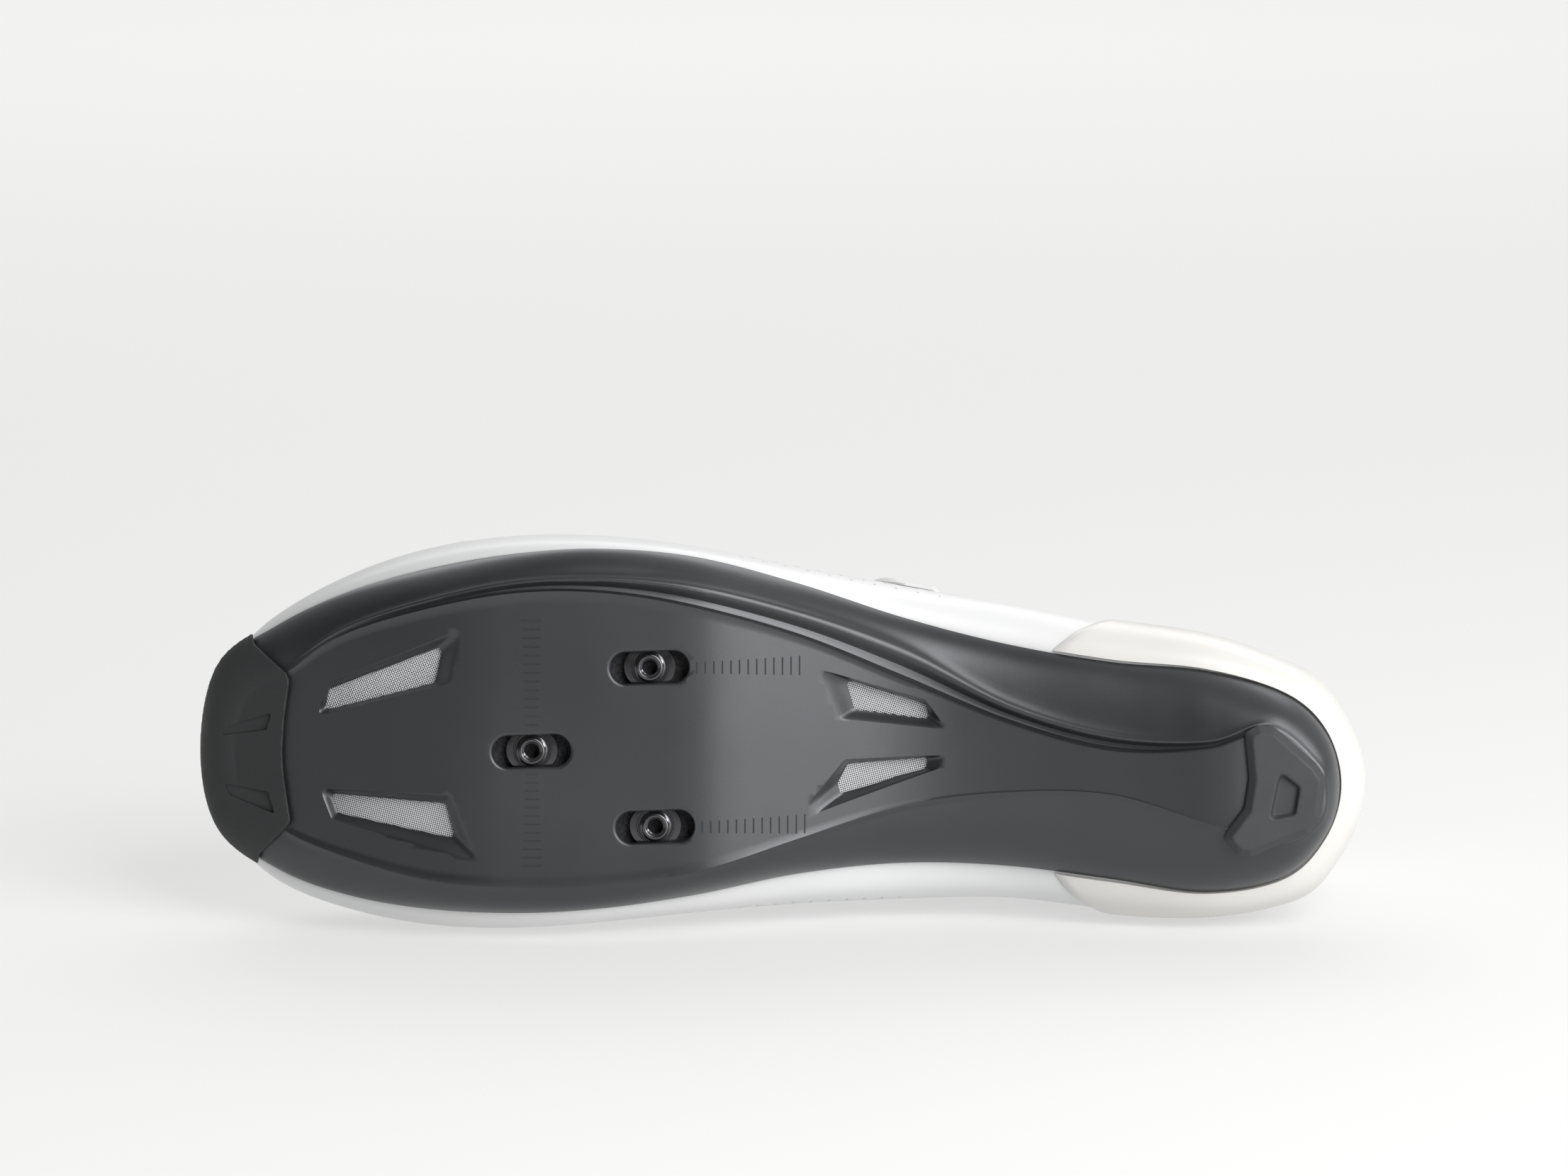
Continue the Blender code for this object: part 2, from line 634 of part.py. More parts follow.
def make_vent_mesh(name):
    mouth, window = like_outline(*map(places, VENTS[name]), VENT_CORNER)
    centre = np.mean(window, axis=0)
    edge = []
    for point in window:
        ray = np.array(point) - centre
        edge.append(tuple(centre + ray * (1 + PANE_MARGIN / np.linalg.norm(ray))))
    count = len(edge)
    rows = 2
    sheets = []
    for lift in (SHELL + GAP, SHELL + GAP + PANE):
        points = []
        for i in range(count):
            for j in range(1, rows + 1):
                x, y = centre + (np.array(edge[i]) - centre) * j / rows
                points.append(np.array((x, y, platform_rise(x))) + lift * platform_normal(x))
        x, y = centre
        points.append(np.array((x, y, platform_rise(x))) + lift * platform_normal(x))
        sheets.append(points)
    quads = grid_quads(count, rows, wrap=True)
    middle = count * rows
    fans = [(middle, ((i + 1) % count) * rows, i * rows) for i in range(count)]
    pane = closed_shell("vent_mesh_" + name, sheets[0], sheets[1], quads + fans)
    finish(pane, "mesh", (0.42, 0.43, 0.44), 0.55, 0.6)
    return pane


def make_cleat_nut(name, centre):
    """Flanged plate above the shell with a threaded collar down in the slot."""
    count = 16
    origin = np.zeros(2)
    floor = CLEAT_SHARE * ARCH_RISE
    bottom = COLLAR_RECESS
    seat = SHELL + GAP

    def circle(radius):
        angles = [2 * math.pi * (i + 0.5) / count for i in range(count)]
        turned = [angle - CLEAT_TURN for angle in angles]
        return [(radius * math.cos(a), radius * math.sin(a)) for a in turned]

    flange = stadium(origin, FLANGE_LENGTH, FLANGE_WIDTH, count)
    loops = [
        at_height(circle(BORE_RADIUS), bottom),
        at_height(circle(COLLAR_RADIUS), bottom),
        at_height(circle(COLLAR_RADIUS), seat),
        at_height(flange, seat),
        at_height(flange, seat + FLANGE),
        at_height(circle(BORE_RADIUS), seat + FLANGE),
    ]
    mesh = bmesh.new()
    rings = [[mesh.verts.new(point) for point in loop] for loop in loops]
    for below, above in zip(rings, rings[1:] + rings[:1]):
        for i in range(count):
            j = (i + 1) % count
            mesh.faces.new((below[i], below[j], above[j], above[i]))
    nut = mesh_object("cleat_nut_" + name, mesh)
    nut.location = (centre[0], centre[1], floor)
    finish(nut, "metal", (0.030, 0.030, 0.032), 0.35, 0.8)
    return nut


def make_upper():
    """One wall from the margin under the foot, round the rim and belly, to the collar."""
    lift = SHELL + GAP
    outer = []
    for k in range(ROUND * STEPS_PER_ROW):
        row = k / STEPS_PER_ROW
        for reach in flank_reaches(row)[2:]:
            at_rim = SHELL_RIM + GAP - lift
            outer.append(flank_lifted(row, reach, lift + at_rim * reach**2))
        for place in UPPER_PLACES:
            outer.append(belly_section(row, place))
    columns = len(flank_reaches(0)[2:]) + len(UPPER_PLACES)
    quads = grid_quads(ROUND * STEPS_PER_ROW, columns, wrap=True)
    normals = np.zeros((len(outer), 3))
    for a, b, c, d in quads:
        face = np.cross(outer[c] - outer[a], outer[d] - outer[b])
        for corner in (a, b, c, d):
            normals[corner] += face
    inner = [point + WALL * unit(normal) for point, normal in zip(outer, normals)]
    upper = closed_shell("upper", outer, inner, quads)
    finish(upper, "synthetic", (0.86, 0.86, 0.85), 0.45)
    return upper


def make_heel_cup():
    columns, rows = 7, 37
    sheets = []
    for offset in (GAP, GAP + CUP):
        points = []
        for i in range(rows):
            across = 2 * i / (rows - 1) - 1
            for j in range(columns):
                rise = j / (columns - 1)
                row = across * (CUP_ROWS - CUP_FRONT_SLANT * rise)
                top = CUP_TOP + (CUP_FRONT_TOP - CUP_TOP) * abs(across) ** 3
                points.append(upper_offset(row, CUP_FOOT + (top - CUP_FOOT) * rise, offset))
        sheets.append(points)
    cup = closed_shell("heel_cup", sheets[0], sheets[1], grid_quads(rows, columns))
    finish(cup, "cup", (0.86, 0.85, 0.82), 0.35)
    return cup


def insole_edge(row, lift):
    """Place on the lifted flank that lies INSOLE_INSET inside the rim."""
    rim = along_curve(RIM, row)
    edge = edge_point(row)
    outward = unit((rim - edge) * np.array((1, 1, 0)))
    best = flank_lifted(row, 0.0, lift)
    for step in range(1, 41):
        point = flank_lifted(row, step / 40, lift)
        if (rim - point) @ outward < INSOLE_INSET or (point - best) @ outward < 0:
            break
        best = point
    return best - outward * max(INSOLE_INSET - (rim - best) @ outward, 0.0)


def make_insole():
    lift = SHELL + WALL + 2 * GAP
    total = ROUND * STEPS_PER_ROW
    edge = [insole_edge(k / STEPS_PER_ROW, lift) for k in range(total)]
    columns = (2 * (TOE_ROW - LAST_SIDE_ROW)) * STEPS_PER_ROW + 1
    heel = [(FIRST_SIDE_ROW * STEPS_PER_ROW - i) % total for i in range(columns)]
    toe = [LAST_SIDE_ROW * STEPS_PER_ROW + i for i in range(columns)]
    rows = [[edge[k] for k in heel]]
    for row in side_positions()[1:-1]:
        k = round(row * STEPS_PER_ROW)
        outer, inner = edge[k], edge[total - k]
        line = [outer]
        flat = [edge_point(row), edge_point(ROUND - row)]
        for j in range(1, columns - 1):
            t = (j - 1) / (columns - 3)
            x, y = (flat[0] + (flat[1] - flat[0]) * t)[:2]
            line.append(np.array((x, y, platform_rise(x))) + lift * platform_normal(x))
        line.append(inner)
        rows.append(line)
    rows.append([edge[k] for k in toe])
    lower = [point for line in rows for point in line]
    upper = [point + np.array((0, 0, INSOLE)) for point in lower]
    insole = closed_shell("insole", lower, upper, grid_quads(len(rows), columns))
    finish(insole, "foam", (0.05, 0.05, 0.055), 0.9)
    return insole


def over_throat(row, offset, reach_out, reach_in, side_steps, middle_steps):
    """Line from the outer side over the throat to the inner side, off the upper's face."""
    line = []
    for i in range(side_steps):
        place = reach_out + (2.0 - reach_out) * i / side_steps
        line.append(upper_offset(row, place, offset))
    start, end = upper_offset(row, 2.0, offset), upper_offset(ROUND - row, 2.0, offset)
    for i in range(middle_steps + 1):
        t = i / middle_steps
        bulge = THROAT_ARCH * (1 - (2 * t - 1) ** 2)
        line.append(start + (end - start) * t + np.array((0, 0, bulge)))
    for i in range(1, side_steps + 1):
        place = 2.0 + (reach_in - 2.0) * i / side_steps
        line.append(upper_offset(ROUND - row, place, offset))
    return line


def strap_row(strap, across, share):
    """Row that a strap's line follows at a share of its way, from its outer to inner end."""
    at_ends = (strap.outer_rows, strap.throat_rows, strap.throat_rows, strap.inner_rows)
    edges = []
    for side in (0, 1):
        edges.append(float(np.interp(share, (0.0, 0.35, 0.65, 1.0), [rows[side] for rows in at_ends])))
    return edges[0] + (edges[1] - edges[0]) * across


def make_strap(name):
    strap = STRAPS[name]
    side_steps, middle_steps, rows = 6, 4, 5
    columns = 2 * side_steps + middle_steps + 1
    sheets = []
    for offset in (LOOSE_GAP, LOOSE_GAP + STRAP):
        points = []
        for i in range(rows):
            for j in range(columns):
                row = strap_row(strap, i / (rows - 1), j / (columns - 1))
                line = over_throat(
                    row, offset, strap.outer_reach, strap.inner_reach, side_steps, middle_steps
                )
                points.append(line[j])
        sheets.append(points)
    item = closed_shell(name, sheets[0], sheets[1], grid_quads(rows, columns))
    finish(item, "synthetic", (0.86, 0.86, 0.85), 0.45)
    return item


def make_tongue():
    side_steps, middle_steps = 1, 6
    near, far = -WALL - LOOSE_GAP, -WALL - LOOSE_GAP - TONGUE
    columns = 2 * side_steps + middle_steps + 1
    first, last = TONGUE_ROWS
    rows = (last - first) * STEPS_PER_ROW + 1
    sheets = []
    for offset in (near, far):
        lines = []
        for i in range(rows):
            row = last - i / STEPS_PER_ROW
            lines.append(
                over_throat(row, offset, TONGUE_REACH, TONGUE_REACH, side_steps, middle_steps)
            )
        base = np.array(lines[-1])
        middle = base.mean(axis=0)
        for back, up, share in TONGUE_END:
            shift = np.array((-length(back), 0.0, up * THROAT_RISE))
            narrowed = middle + (base - middle) * np.array((1.0, share, 1.0))
            lines.append(list(narrowed + shift))
        sheets.append([point for line in lines for point in line])
    quads = grid_quads(rows + len(TONGUE_END), columns)
    item = closed_shell("tongue", sheets[0], sheets[1], quads)
    finish(item, "tongue", (0.80, 0.80, 0.79), 0.8)
    return item


def volume_and_centre(item):
    """Volume of a closed mesh and its centroid in the shoe's frame."""
    item.data.calc_loop_triangles()
    corners = np.array([vertex.co for vertex in item.data.vertices])
    corners = corners + np.array(item.location)
    triangles = np.array([triangle.vertices for triangle in item.data.loop_triangles])
    a, b, c = (corners[triangles[:, i]] for i in range(3))
    volumes = np.einsum("ij,ij->i", a, np.cross(b, c)) / 6
    centroid = (volumes[:, None] * (a + b + c) / 4).sum(axis=0) / volumes.sum()
    return abs(volumes.sum()), centroid, corners


def lying_normal(corners, centre):
    """Downward direction when the shoe lies on the face of its hull that bears it best."""
    mesh = bmesh.new()
    for corner in corners:
        mesh.verts.new(corner)
    hull = bmesh.ops.convex_hull(mesh, input=mesh.verts)["geom"]
    centre = Vector(centre)
    down, steadiest = Vector((0.0, -1.0, 0.0)), 0.0
    for face in hull:
        if not isinstance(face, bmesh.types.BMFace) or abs(face.normal.y) < 0.9:
            continue
        normal = face.normal * (-1.0 if face.normal.y > 0 else 1.0)
        a, b, c = (vertex.co for vertex in face.verts)
        foot = centre + normal * ((a - centre) @ normal)
        facing = (b - a).cross(c - a).normalized()
        sides = ((a, b), (b, c), (c, a))
        margins = [(end - start).normalized().cross(foot - start) @ facing for start, end in sides]
        if min(margins) > steadiest:
            down, steadiest = normal, min(margins)
    mesh.free()
    return np.array(down)


def lay_down(items):
    """Empty that lays the whole shoe on its inner side, its lowest points at height zero."""
    weight, moment, clouds = 0.0, np.zeros(3), []
    for item, density in items:
        volume, centroid, corners = volume_and_centre(item)
        weight += volume * density
        moment += volume * density * centroid
        clouds.append(corners)
    corners = np.vstack(clouds)
    down = lying_normal(corners, moment / weight)
    up = -down
    back = unit(np.array((-1.0, 0.0, 0.0)) - (-1.0 * up[0]) * up)
    across = np.cross(up, back)
    turned = corners @ np.array((back, across, up)).T
    low, high = turned.min(axis=0), turned.max(axis=0)
    frame = bpy.data.objects.new("shoe_frame", None)
    bpy.context.collection.objects.link(frame)
    rotation = Matrix((back, across, up)).to_4x4()
    middle = (low + high) / 2
    frame.matrix_world = Matrix.Translation((-middle[0], -middle[1], -low[2])) @ rotation
    for item in list(bpy.data.objects):
        if item is not frame:
            item.parent = frame


def main():
    for item in list(bpy.data.objects):
        bpy.data.objects.remove(item)
    items = [(make_outsole(), DENSITY["composite"]), (make_upper(), DENSITY["upper"])]
    items += [(make_bumper(), DENSITY["rubber"]), (make_heel_pad(), DENSITY["rubber"])]
    items += [(make_vent_mesh(name), DENSITY["rubber"]) for name in VENTS]
    for name, centre in bolt_centres().items():
        items.append((make_cleat_nut(name, centre), DENSITY["metal"]))
    items.append((make_heel_cup(), DENSITY["upper"]))
    items.append((make_insole(), DENSITY["foam"]))
    items.append((make_tongue(), DENSITY["foam"]))
    items += [(make_strap(name), DENSITY["upper"]) for name in STRAPS]
    lay_down(items)


main()
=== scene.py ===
"""Looks of a left road cycling shoe that lies on its inner side and shows its sole.

Pieces are shaped in the shoe's own frame, in metres: X forward from the heel end of the sole,
Y towards the outer side and Z up from the ground plane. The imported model's cleat face and the
slide of its plates say where that frame lies.
"""
import json
import math
from collections import namedtuple

import bmesh
import bpy
import numpy as np
from mathutils import Matrix, Vector
from mathutils.bvhtree import BVHTree


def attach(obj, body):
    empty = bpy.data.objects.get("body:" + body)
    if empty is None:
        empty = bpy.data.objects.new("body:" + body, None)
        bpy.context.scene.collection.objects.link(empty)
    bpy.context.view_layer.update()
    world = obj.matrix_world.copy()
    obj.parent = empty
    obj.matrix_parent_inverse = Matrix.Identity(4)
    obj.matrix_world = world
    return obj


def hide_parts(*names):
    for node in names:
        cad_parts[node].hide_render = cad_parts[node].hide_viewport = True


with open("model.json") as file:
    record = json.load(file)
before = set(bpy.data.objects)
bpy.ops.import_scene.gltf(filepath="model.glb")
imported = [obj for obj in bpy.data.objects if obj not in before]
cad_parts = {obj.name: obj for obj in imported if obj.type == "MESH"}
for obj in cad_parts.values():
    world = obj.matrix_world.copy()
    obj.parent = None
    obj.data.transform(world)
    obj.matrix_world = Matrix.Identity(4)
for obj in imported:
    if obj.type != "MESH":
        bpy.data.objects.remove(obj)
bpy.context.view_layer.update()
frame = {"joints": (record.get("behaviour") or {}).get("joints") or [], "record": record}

# Driving sizes of the solids
SOLE_LENGTH = 0.2876
BALL_WIDTH = 0.0907
ARCH_RISE = 0.0145
TOE_SPRING = 0.0288
BELLY_RISE = 0.0397
THROAT_RISE = 0.0933
GAP = 0.0003
LOOSE_GAP = 0.0006
SHELL = 0.0024
SHELL_RIM = 0.0014
WALL = 0.0020
INSOLE = 0.0030
TONGUE = 0.0030
STRAP = 0.0015
CUP = 0.0012
BUMPER = 0.0012
FLANK_ROUND = 0.75
BOLTS_APART = 0.0400
BOLTS_AHEAD = 0.0302
CLEAT_CENTRE = 0.602
CLEAT_SIDE = 0.0010
CLEAT_TURN = math.radians(1.9)
SLOT_LENGTH = 0.0195
SLOT_WIDTH = 0.0080
COLLAR_RADIUS = 0.00325
BORE_RADIUS = 0.0022
FLANGE_LENGTH = 0.0130
FLANGE_WIDTH = 0.0105
FLANGE = 0.0013
COLLAR_RECESS = 0.0008
PAD = 0.0033
PAD_BEVEL = 0.0019
PAD_RECESS = 0.0016
VENT_CORNER = 0.0016
CLEAT_FACE_POINT = (0.19113, 0.0170)

# Looks only: groove, lip and bead of the sole. The groove's sides and the lip's crest are given
# in widths of the lip, which is at most LIP_LIMIT of the flank.
GROOVE_DEPTH = 0.0016
LIP_PROUD = 0.0009
LIP_SHARE = 0.8
LIP_LIMIT = 0.45
GROOVE_SIDES = (0.03, 0.24, 0.62, 1.08)
CREST_AT = 1.25
CREST_WIDTH = 0.36
BEAD_PROUD = 0.00038
BEAD_WIDTH = 0.0007

# How far the cutters of deep and of shallow features stand out of the face
CUTTER_REACH = 0.0030
SHALLOW_REACH = 0.001

# Looks only: vents, slots and marks, the bumper and the heel pad
VENT_DEPTH = 0.0023
VENT_CLEAR = 0.00006
VENT_STEPS = 9
VENT_SOFTNESS = 0.4
WINDOW_CORNER = 0.8 * VENT_CORNER
SLOT_FILLET = 0.0009
SLOT_CLEAR = 0.00002
FILLET_STEPS = 6
TICK_DEPTH = 0.00016
TICK_WIDTH = 0.00038
BUMPER_MARGIN = 0.012
BUMPER_VOXEL = 0.00030
MARK_DEPTH = 0.0009
MARK_CORNER = 0.4 * VENT_CORNER
MARK_FRONT_SHARE = 0.25
PAD_VOXEL = 0.00028
PAD_CORNER = 0.0016
PAD_FACE_CORNER = 0.0010
PAD_RECESS_CORNER = 0.0014
PAD_RECESS_TAPER = 0.84
PAD_RECESS_FLARE = 1.10

# Looks only: woven wires and the threaded plates
WIRE_PITCH = 0.00052
WIRE_RADIUS = 0.000105
WIRE_WEAVE = 0.85
WIRE_SPREAD = 1.09
PLATE_STEPS = 64
THREAD_TURNS = 9
THREAD_DEPTH = 0.00022
THREAD_START = 0.0004
BORE_CHAMFER = 0.0004

# Looks only: skin, lining and what is sewn
SKIN = 0.0011
SKIN_CLEAR = 0.0001
RIM_FADE = 0.5
LINING = 0.0006
COLLAR_PAD = 0.0036
COLLAR_PAD_ROWS = (3.6, 6.4)
COLLAR_PAD_PLACES = (1.15, 1.45)
COLLAR_PAD_THINS = 0.85
COLLAR_PAD_THIN_PLACES = (1.8, 2.0)
BINDING_RADIUS = 0.0016
STITCH = 0.0021
STITCH_GAP = 0.0009
STITCH_RADIUS = 0.00022
CUP_HALF_LENGTH = 0.115
CUP_STEP = 0.0022
CUP_TOP_STEP = 0.05
CUP_EDGE = 0.12
CUP_CLEAR = 0.0002
CREASE_SHOULDER = 0.45
CREASE_SPREAD = 0.45
STRAP_SPANS = (0.0, 0.35, 0.65, 1.0)
STRAP_TIP = 0.045
STRAP_TIP_WIDTH = 0.55
STRAP_SIDE = 0.10
STRAP_END = 0.02
STRAP_EDGE = 0.15
STRAP_SINK = 0.0003
SEAM_INSET = 3
SEAM_END = 12

# How finely curved faces are divided
SOLE_STEPS = 12
SOLE_RINGS = 26
LIP_ZONE = 1.7
SKIN_STEPS = 12
LINING_STEPS = 8
INSOLE_STEPS = 8
CUP_GRID = (150, 44)
STRAP_GRID = (25, 121)
TONGUE_GRID = (9, 9)

# How far curves are eased, and the steps over which slopes are taken
PLATFORM_EASE = 0.006
PLATFORM_STEP = 0.002
EDGE_EASE = 0.05
ROW_EASE = (-0.4, -0.2, 0.0, 0.2, 0.4)
ROW_STEP = 0.05
REACH_STEP = 0.02
PLACE_STEP = 0.03
CORNER_ROOM = 0.42

# Rows around the shoe: heel end, outer side to the toe, toe tip, inner side back to the heel.
# along is a share of SOLE_LENGTH, out of BALL_WIDTH; rises are shares of TOE_SPRING,
# BELLY_RISE and THROAT_RISE.
Row = namedtuple(
    "Row",
    "rim_along rim_out rim_rise edge_along edge_out lip "
    "belly_along belly_out belly_rise top_along top_out top_rise fullness",
)
ROWS = [
    Row(0.000, -0.106, 0.57, 0.018, -0.104, 0.010, -0.028, -0.120, 0.76, -0.010, -0.115, 0.926, 0.10),
    Row(0.013, 0.041, 0.55, 0.025, -0.039, 0.010, 0.008, 0.138, 0.74, 0.007, 0.060, 0.894, 0.10),
    Row(0.050, 0.147, 0.53, 0.066, 0.061, 0.012, 0.043, 0.208, 0.73, 0.043, 0.148, 0.830, 0.15),
    Row(0.119, 0.210, 0.53, 0.119, 0.004, 0.016, 0.114, 0.291, 0.73, 0.112, 0.219, 0.734, 0.20),
    Row(0.202, 0.232, 0.60, 0.202, -0.005, 0.028, 0.199, 0.324, 0.78, 0.195, 0.246, 0.707, 0.25),
    Row(0.293, 0.279, 0.72, 0.292, 0.067, 0.033, 0.290, 0.380, 0.86, 0.275, 0.235, 0.819, 0.45),
    Row(0.384, 0.353, 0.74, 0.385, 0.186, 0.055, 0.382, 0.428, 0.91, 0.340, 0.181, 0.989, 0.75),
    Row(0.475, 0.451, 0.59, 0.475, 0.310, 0.044, 0.474, 0.486, 0.78, 0.423, 0.159, 0.963, 0.85),
    Row(0.565, 0.529, 0.40, 0.565, 0.396, 0.037, 0.566, 0.549, 0.65, 0.496, 0.146, 0.883, 0.90),
    Row(0.648, 0.554, 0.29, 0.647, 0.438, 0.026, 0.651, 0.581, 0.59, 0.554, 0.135, 0.809, 0.90),
    Row(0.724, 0.539, 0.31, 0.723, 0.436, 0.020, 0.728, 0.579, 0.60, 0.592, 0.120, 0.761, 0.90),
    Row(0.801, 0.494, 0.41, 0.799, 0.390, 0.016, 0.806, 0.539, 0.69, 0.616, 0.093, 0.723, 0.88),
    Row(0.871, 0.426, 0.57, 0.872, 0.313, 0.014, 0.877, 0.458, 0.82, 0.627, 0.069, 0.697, 0.85),
    Row(0.933, 0.331, 0.76, 0.922, 0.206, 0.012, 0.940, 0.344, 0.94, 0.631, 0.053, 0.686, 0.80),
    Row(0.984, 0.210, 0.91, 0.958, 0.126, 0.012, 0.975, 0.225, 0.98, 0.634, 0.038, 0.682, 0.80),
    Row(1.000, -0.027, 1.00, 0.970, -0.022, 0.012, 0.995, -0.027, 0.99, 0.635, 0.025, 0.681, 0.80),
    Row(0.985, -0.239, 0.91, 0.960, -0.159, 0.012, 0.977, -0.263, 0.98, 0.634, 0.014, 0.682, 0.80),
    Row(0.934, -0.355, 0.76, 0.924, -0.241, 0.012, 0.942, -0.400, 0.94, 0.631, 0.003, 0.686, 0.80),
    Row(0.873, -0.418, 0.57, 0.872, -0.302, 0.014, 0.879, -0.473, 0.82, 0.627, -0.011, 0.697, 0.85),
    Row(0.802, -0.451, 0.41, 0.799, -0.357, 0.014, 0.807, -0.514, 0.69, 0.616, -0.024, 0.723, 0.88),
    Row(0.725, -0.459, 0.31, 0.723, -0.376, 0.014, 0.729, -0.520, 0.60, 0.592, -0.042, 0.763, 0.90),
    Row(0.649, -0.446, 0.29, 0.647, -0.370, 0.014, 0.652, -0.503, 0.59, 0.554, -0.071, 0.811, 0.90),
    Row(0.565, -0.413, 0.43, 0.565, -0.332, 0.014, 0.567, -0.480, 0.65, 0.496, -0.110, 0.886, 0.90),
    Row(0.475, -0.363, 0.66, 0.475, -0.248, 0.014, 0.475, -0.463, 0.78, 0.423, -0.159, 0.968, 0.85),
    Row(0.383, -0.341, 0.86, 0.385, -0.166, 0.014, 0.382, -0.459, 0.91, 0.340, -0.241, 1.000, 0.75),
    Row(0.291, -0.349, 0.86, 0.292, -0.127, 0.014, 0.289, -0.450, 0.88, 0.275, -0.425, 0.830, 0.40),
    Row(0.201, -0.378, 0.66, 0.202, -0.129, 0.014, 0.197, -0.482, 0.78, 0.195, -0.466, 0.723, 0.20),
    Row(0.118, -0.409, 0.53, 0.119, -0.203, 0.012, 0.112, -0.487, 0.73, 0.112, -0.457, 0.745, 0.20),
    Row(0.049, -0.368, 0.53, 0.054, -0.257, 0.010, 0.043, -0.446, 0.73, 0.043, -0.378, 0.830, 0.15),
    Row(0.012, -0.249, 0.55, 0.022, -0.192, 0.010, 0.009, -0.376, 0.74, 0.007, -0.290, 0.894, 0.10),
]
ROUND = len(ROWS)
TOE_ROW = ROUND // 2
LAST_SIDE_ROW = 13
FIRST_SIDE_ROW = TOE_ROW - LAST_SIDE_ROW
GROOVE = ((2.0, 0.0), (3.5, 0.7), (5.0, 1.0), (8.0, 1.0), (9.5, 0.75), (11.5, 0.35), (13.0, 0.0))
SEAT_SHARE = 0.25
CLEAT_SHARE = 0.10
PLATFORM = (
    (0.000, SEAT_SHARE), (0.109, SEAT_SHARE), (0.129, 0.38), (0.192, 0.62), (0.254, 0.83),
    (0.316, 0.97), (0.357, 1.00), (0.406, 0.91), (0.454, 0.68), (0.502, 0.37), (0.537, 0.17),
    (0.565, CLEAT_SHARE), (0.758, CLEAT_SHARE), (0.792, 0.21), (0.834, 0.46), (0.875, 0.76),
    (0.910, 1.03), (0.944, 1.31), (0.979, 1.59), (1.000, 1.76), (1.050, 2.16),
)
VENTS = {
    "front_lateral": (
        ((0.898, 0.083), (0.884, 0.184), (0.767, 0.340), (0.777, 0.188)),
        ((0.890, 0.099), (0.886, 0.160), (0.784, 0.289), (0.791, 0.186)),
    ),
    "front_medial": (
        ((0.895, -0.116), (0.777, -0.118), (0.752, -0.306), (0.884, -0.202)),
        ((0.885, -0.131), (0.782, -0.147), (0.774, -0.245), (0.879, -0.186)),
    ),
    "rear_lateral": (
        ((0.459, 0.222), (0.364, 0.130), (0.344, 0.044), (0.440, 0.079)),
        ((0.434, 0.188), (0.363, 0.114), (0.360, 0.072), (0.426, 0.102)),
    ),
    "rear_medial": (
        ((0.347, -0.025), (0.351, -0.062), (0.461, -0.184), (0.469, -0.162), (0.435, -0.033)),
        ((0.361, -0.034), (0.363, -0.064), (0.439, -0.134), (0.441, -0.103), (0.432, -0.048)),
    ),
}
BUMPER_BACK = (
    (0.954, 0.281), (0.924, 0.203), (0.921, 0.181), (0.926, 0.073), (0.928, -0.015),
    (0.927, -0.081), (0.924, -0.148), (0.921, -0.209), (0.923, -0.223), (0.950, -0.309),
)
BUMPER_MARKS = (
    ((0.984, 0.021), (0.976, 0.050), (0.937, 0.092), (0.942, 0.042)),
    ((0.981, -0.113), (0.941, -0.131), (0.935, -0.193), (0.976, -0.145)),
)
PAD_OUTLINE = (
    (0.088, 0.052), (0.076, 0.071), (0.062, 0.066), (0.026, -0.033), (0.017, -0.075),
    (0.021, -0.186), (0.032, -0.228), (0.082, -0.292), (0.094, -0.288), (0.107, -0.240),
    (0.088, -0.158), (0.084, -0.078),
)
PAD_FACE_INSET = 0.0017
PAD_RECESS_OUTLINE = ((0.058, -0.052), (0.040, -0.096), (0.044, -0.176), (0.067, -0.190))
Strap = namedtuple("Strap", "outer_rows throat_rows inner_rows outer_reach inner_reach")
STRAPS = {
    "strap_instep": Strap((5.60, 6.12), (6.15, 7.25), (6.10, 7.00), 1.10, 1.35),
    "strap_forefoot": Strap((7.75, 8.45), (8.00, 9.00), (7.95, 8.85), 1.30, 1.35),
}
THROAT_ARCH = 0.0030
THROAT_SIDE = 6 / 16
TONGUE_ROWS = (6, 10)
TONGUE_REACH = 1.83
TONGUE_END = (
    (0.014, 0.004, 0.72), (0.034, 0.060, 0.74), (0.056, 0.150, 0.78), (0.068, 0.240, 0.66),
)
CUP_ROWS = 4.55
CUP_TOP = 1.52
CUP_FRONT_TOP = 1.02
CUP_FRONT_SLANT = 0.55
CUP_FOOT = 0.10
INSOLE_INSET = 0.0076

# Marks beside the slots, by their first and last distance from the bolt
Ticks = namedtuple("Ticks", "bolt beside first last count first_size last_size")
TICKS = (
    Ticks("front", True, 0.0067, 0.0328, 13, 0.0030, 0.0048),
    Ticks("front", True, -0.0057, -0.0287, 12, 0.0030, 0.0048),
    Ticks("rear_lateral", False, -0.0117, -0.03738, 13, 0.0028, 0.0048),
    Ticks("rear_medial", False, -0.0117, -0.03738, 13, 0.0028, 0.0048),
)

# Turned faces of a cleat plate: radius and what is added to it, level and what is added to it
PLATE_RINGS = (
    ("bore", 0.00030, "recess", 0.00006), ("bore", 0.00042, "recess", 0.0),
    ("collar", -0.00030, "recess", 0.0), ("collar", -0.00008, "recess", 0.00010),
    ("collar", 0.0, "recess", 0.00030), ("collar", 0.0, "seat", -0.00070),
    ("collar", 0.00045, "seat", -0.00035), ("collar", 0.00060, "seat", -0.00030),
    ("collar", 0.00075, "seat", 0.00005), ("collar", 0.00095, "seat", 0.00005),
    ("collar", 0.00110, "seat", -0.00018), ("collar", 0.00135, "seat", -0.00018),
    ("collar", 0.00150, "seat", 0.00005), ("collar", 0.00170, "seat", 0.00005),
)
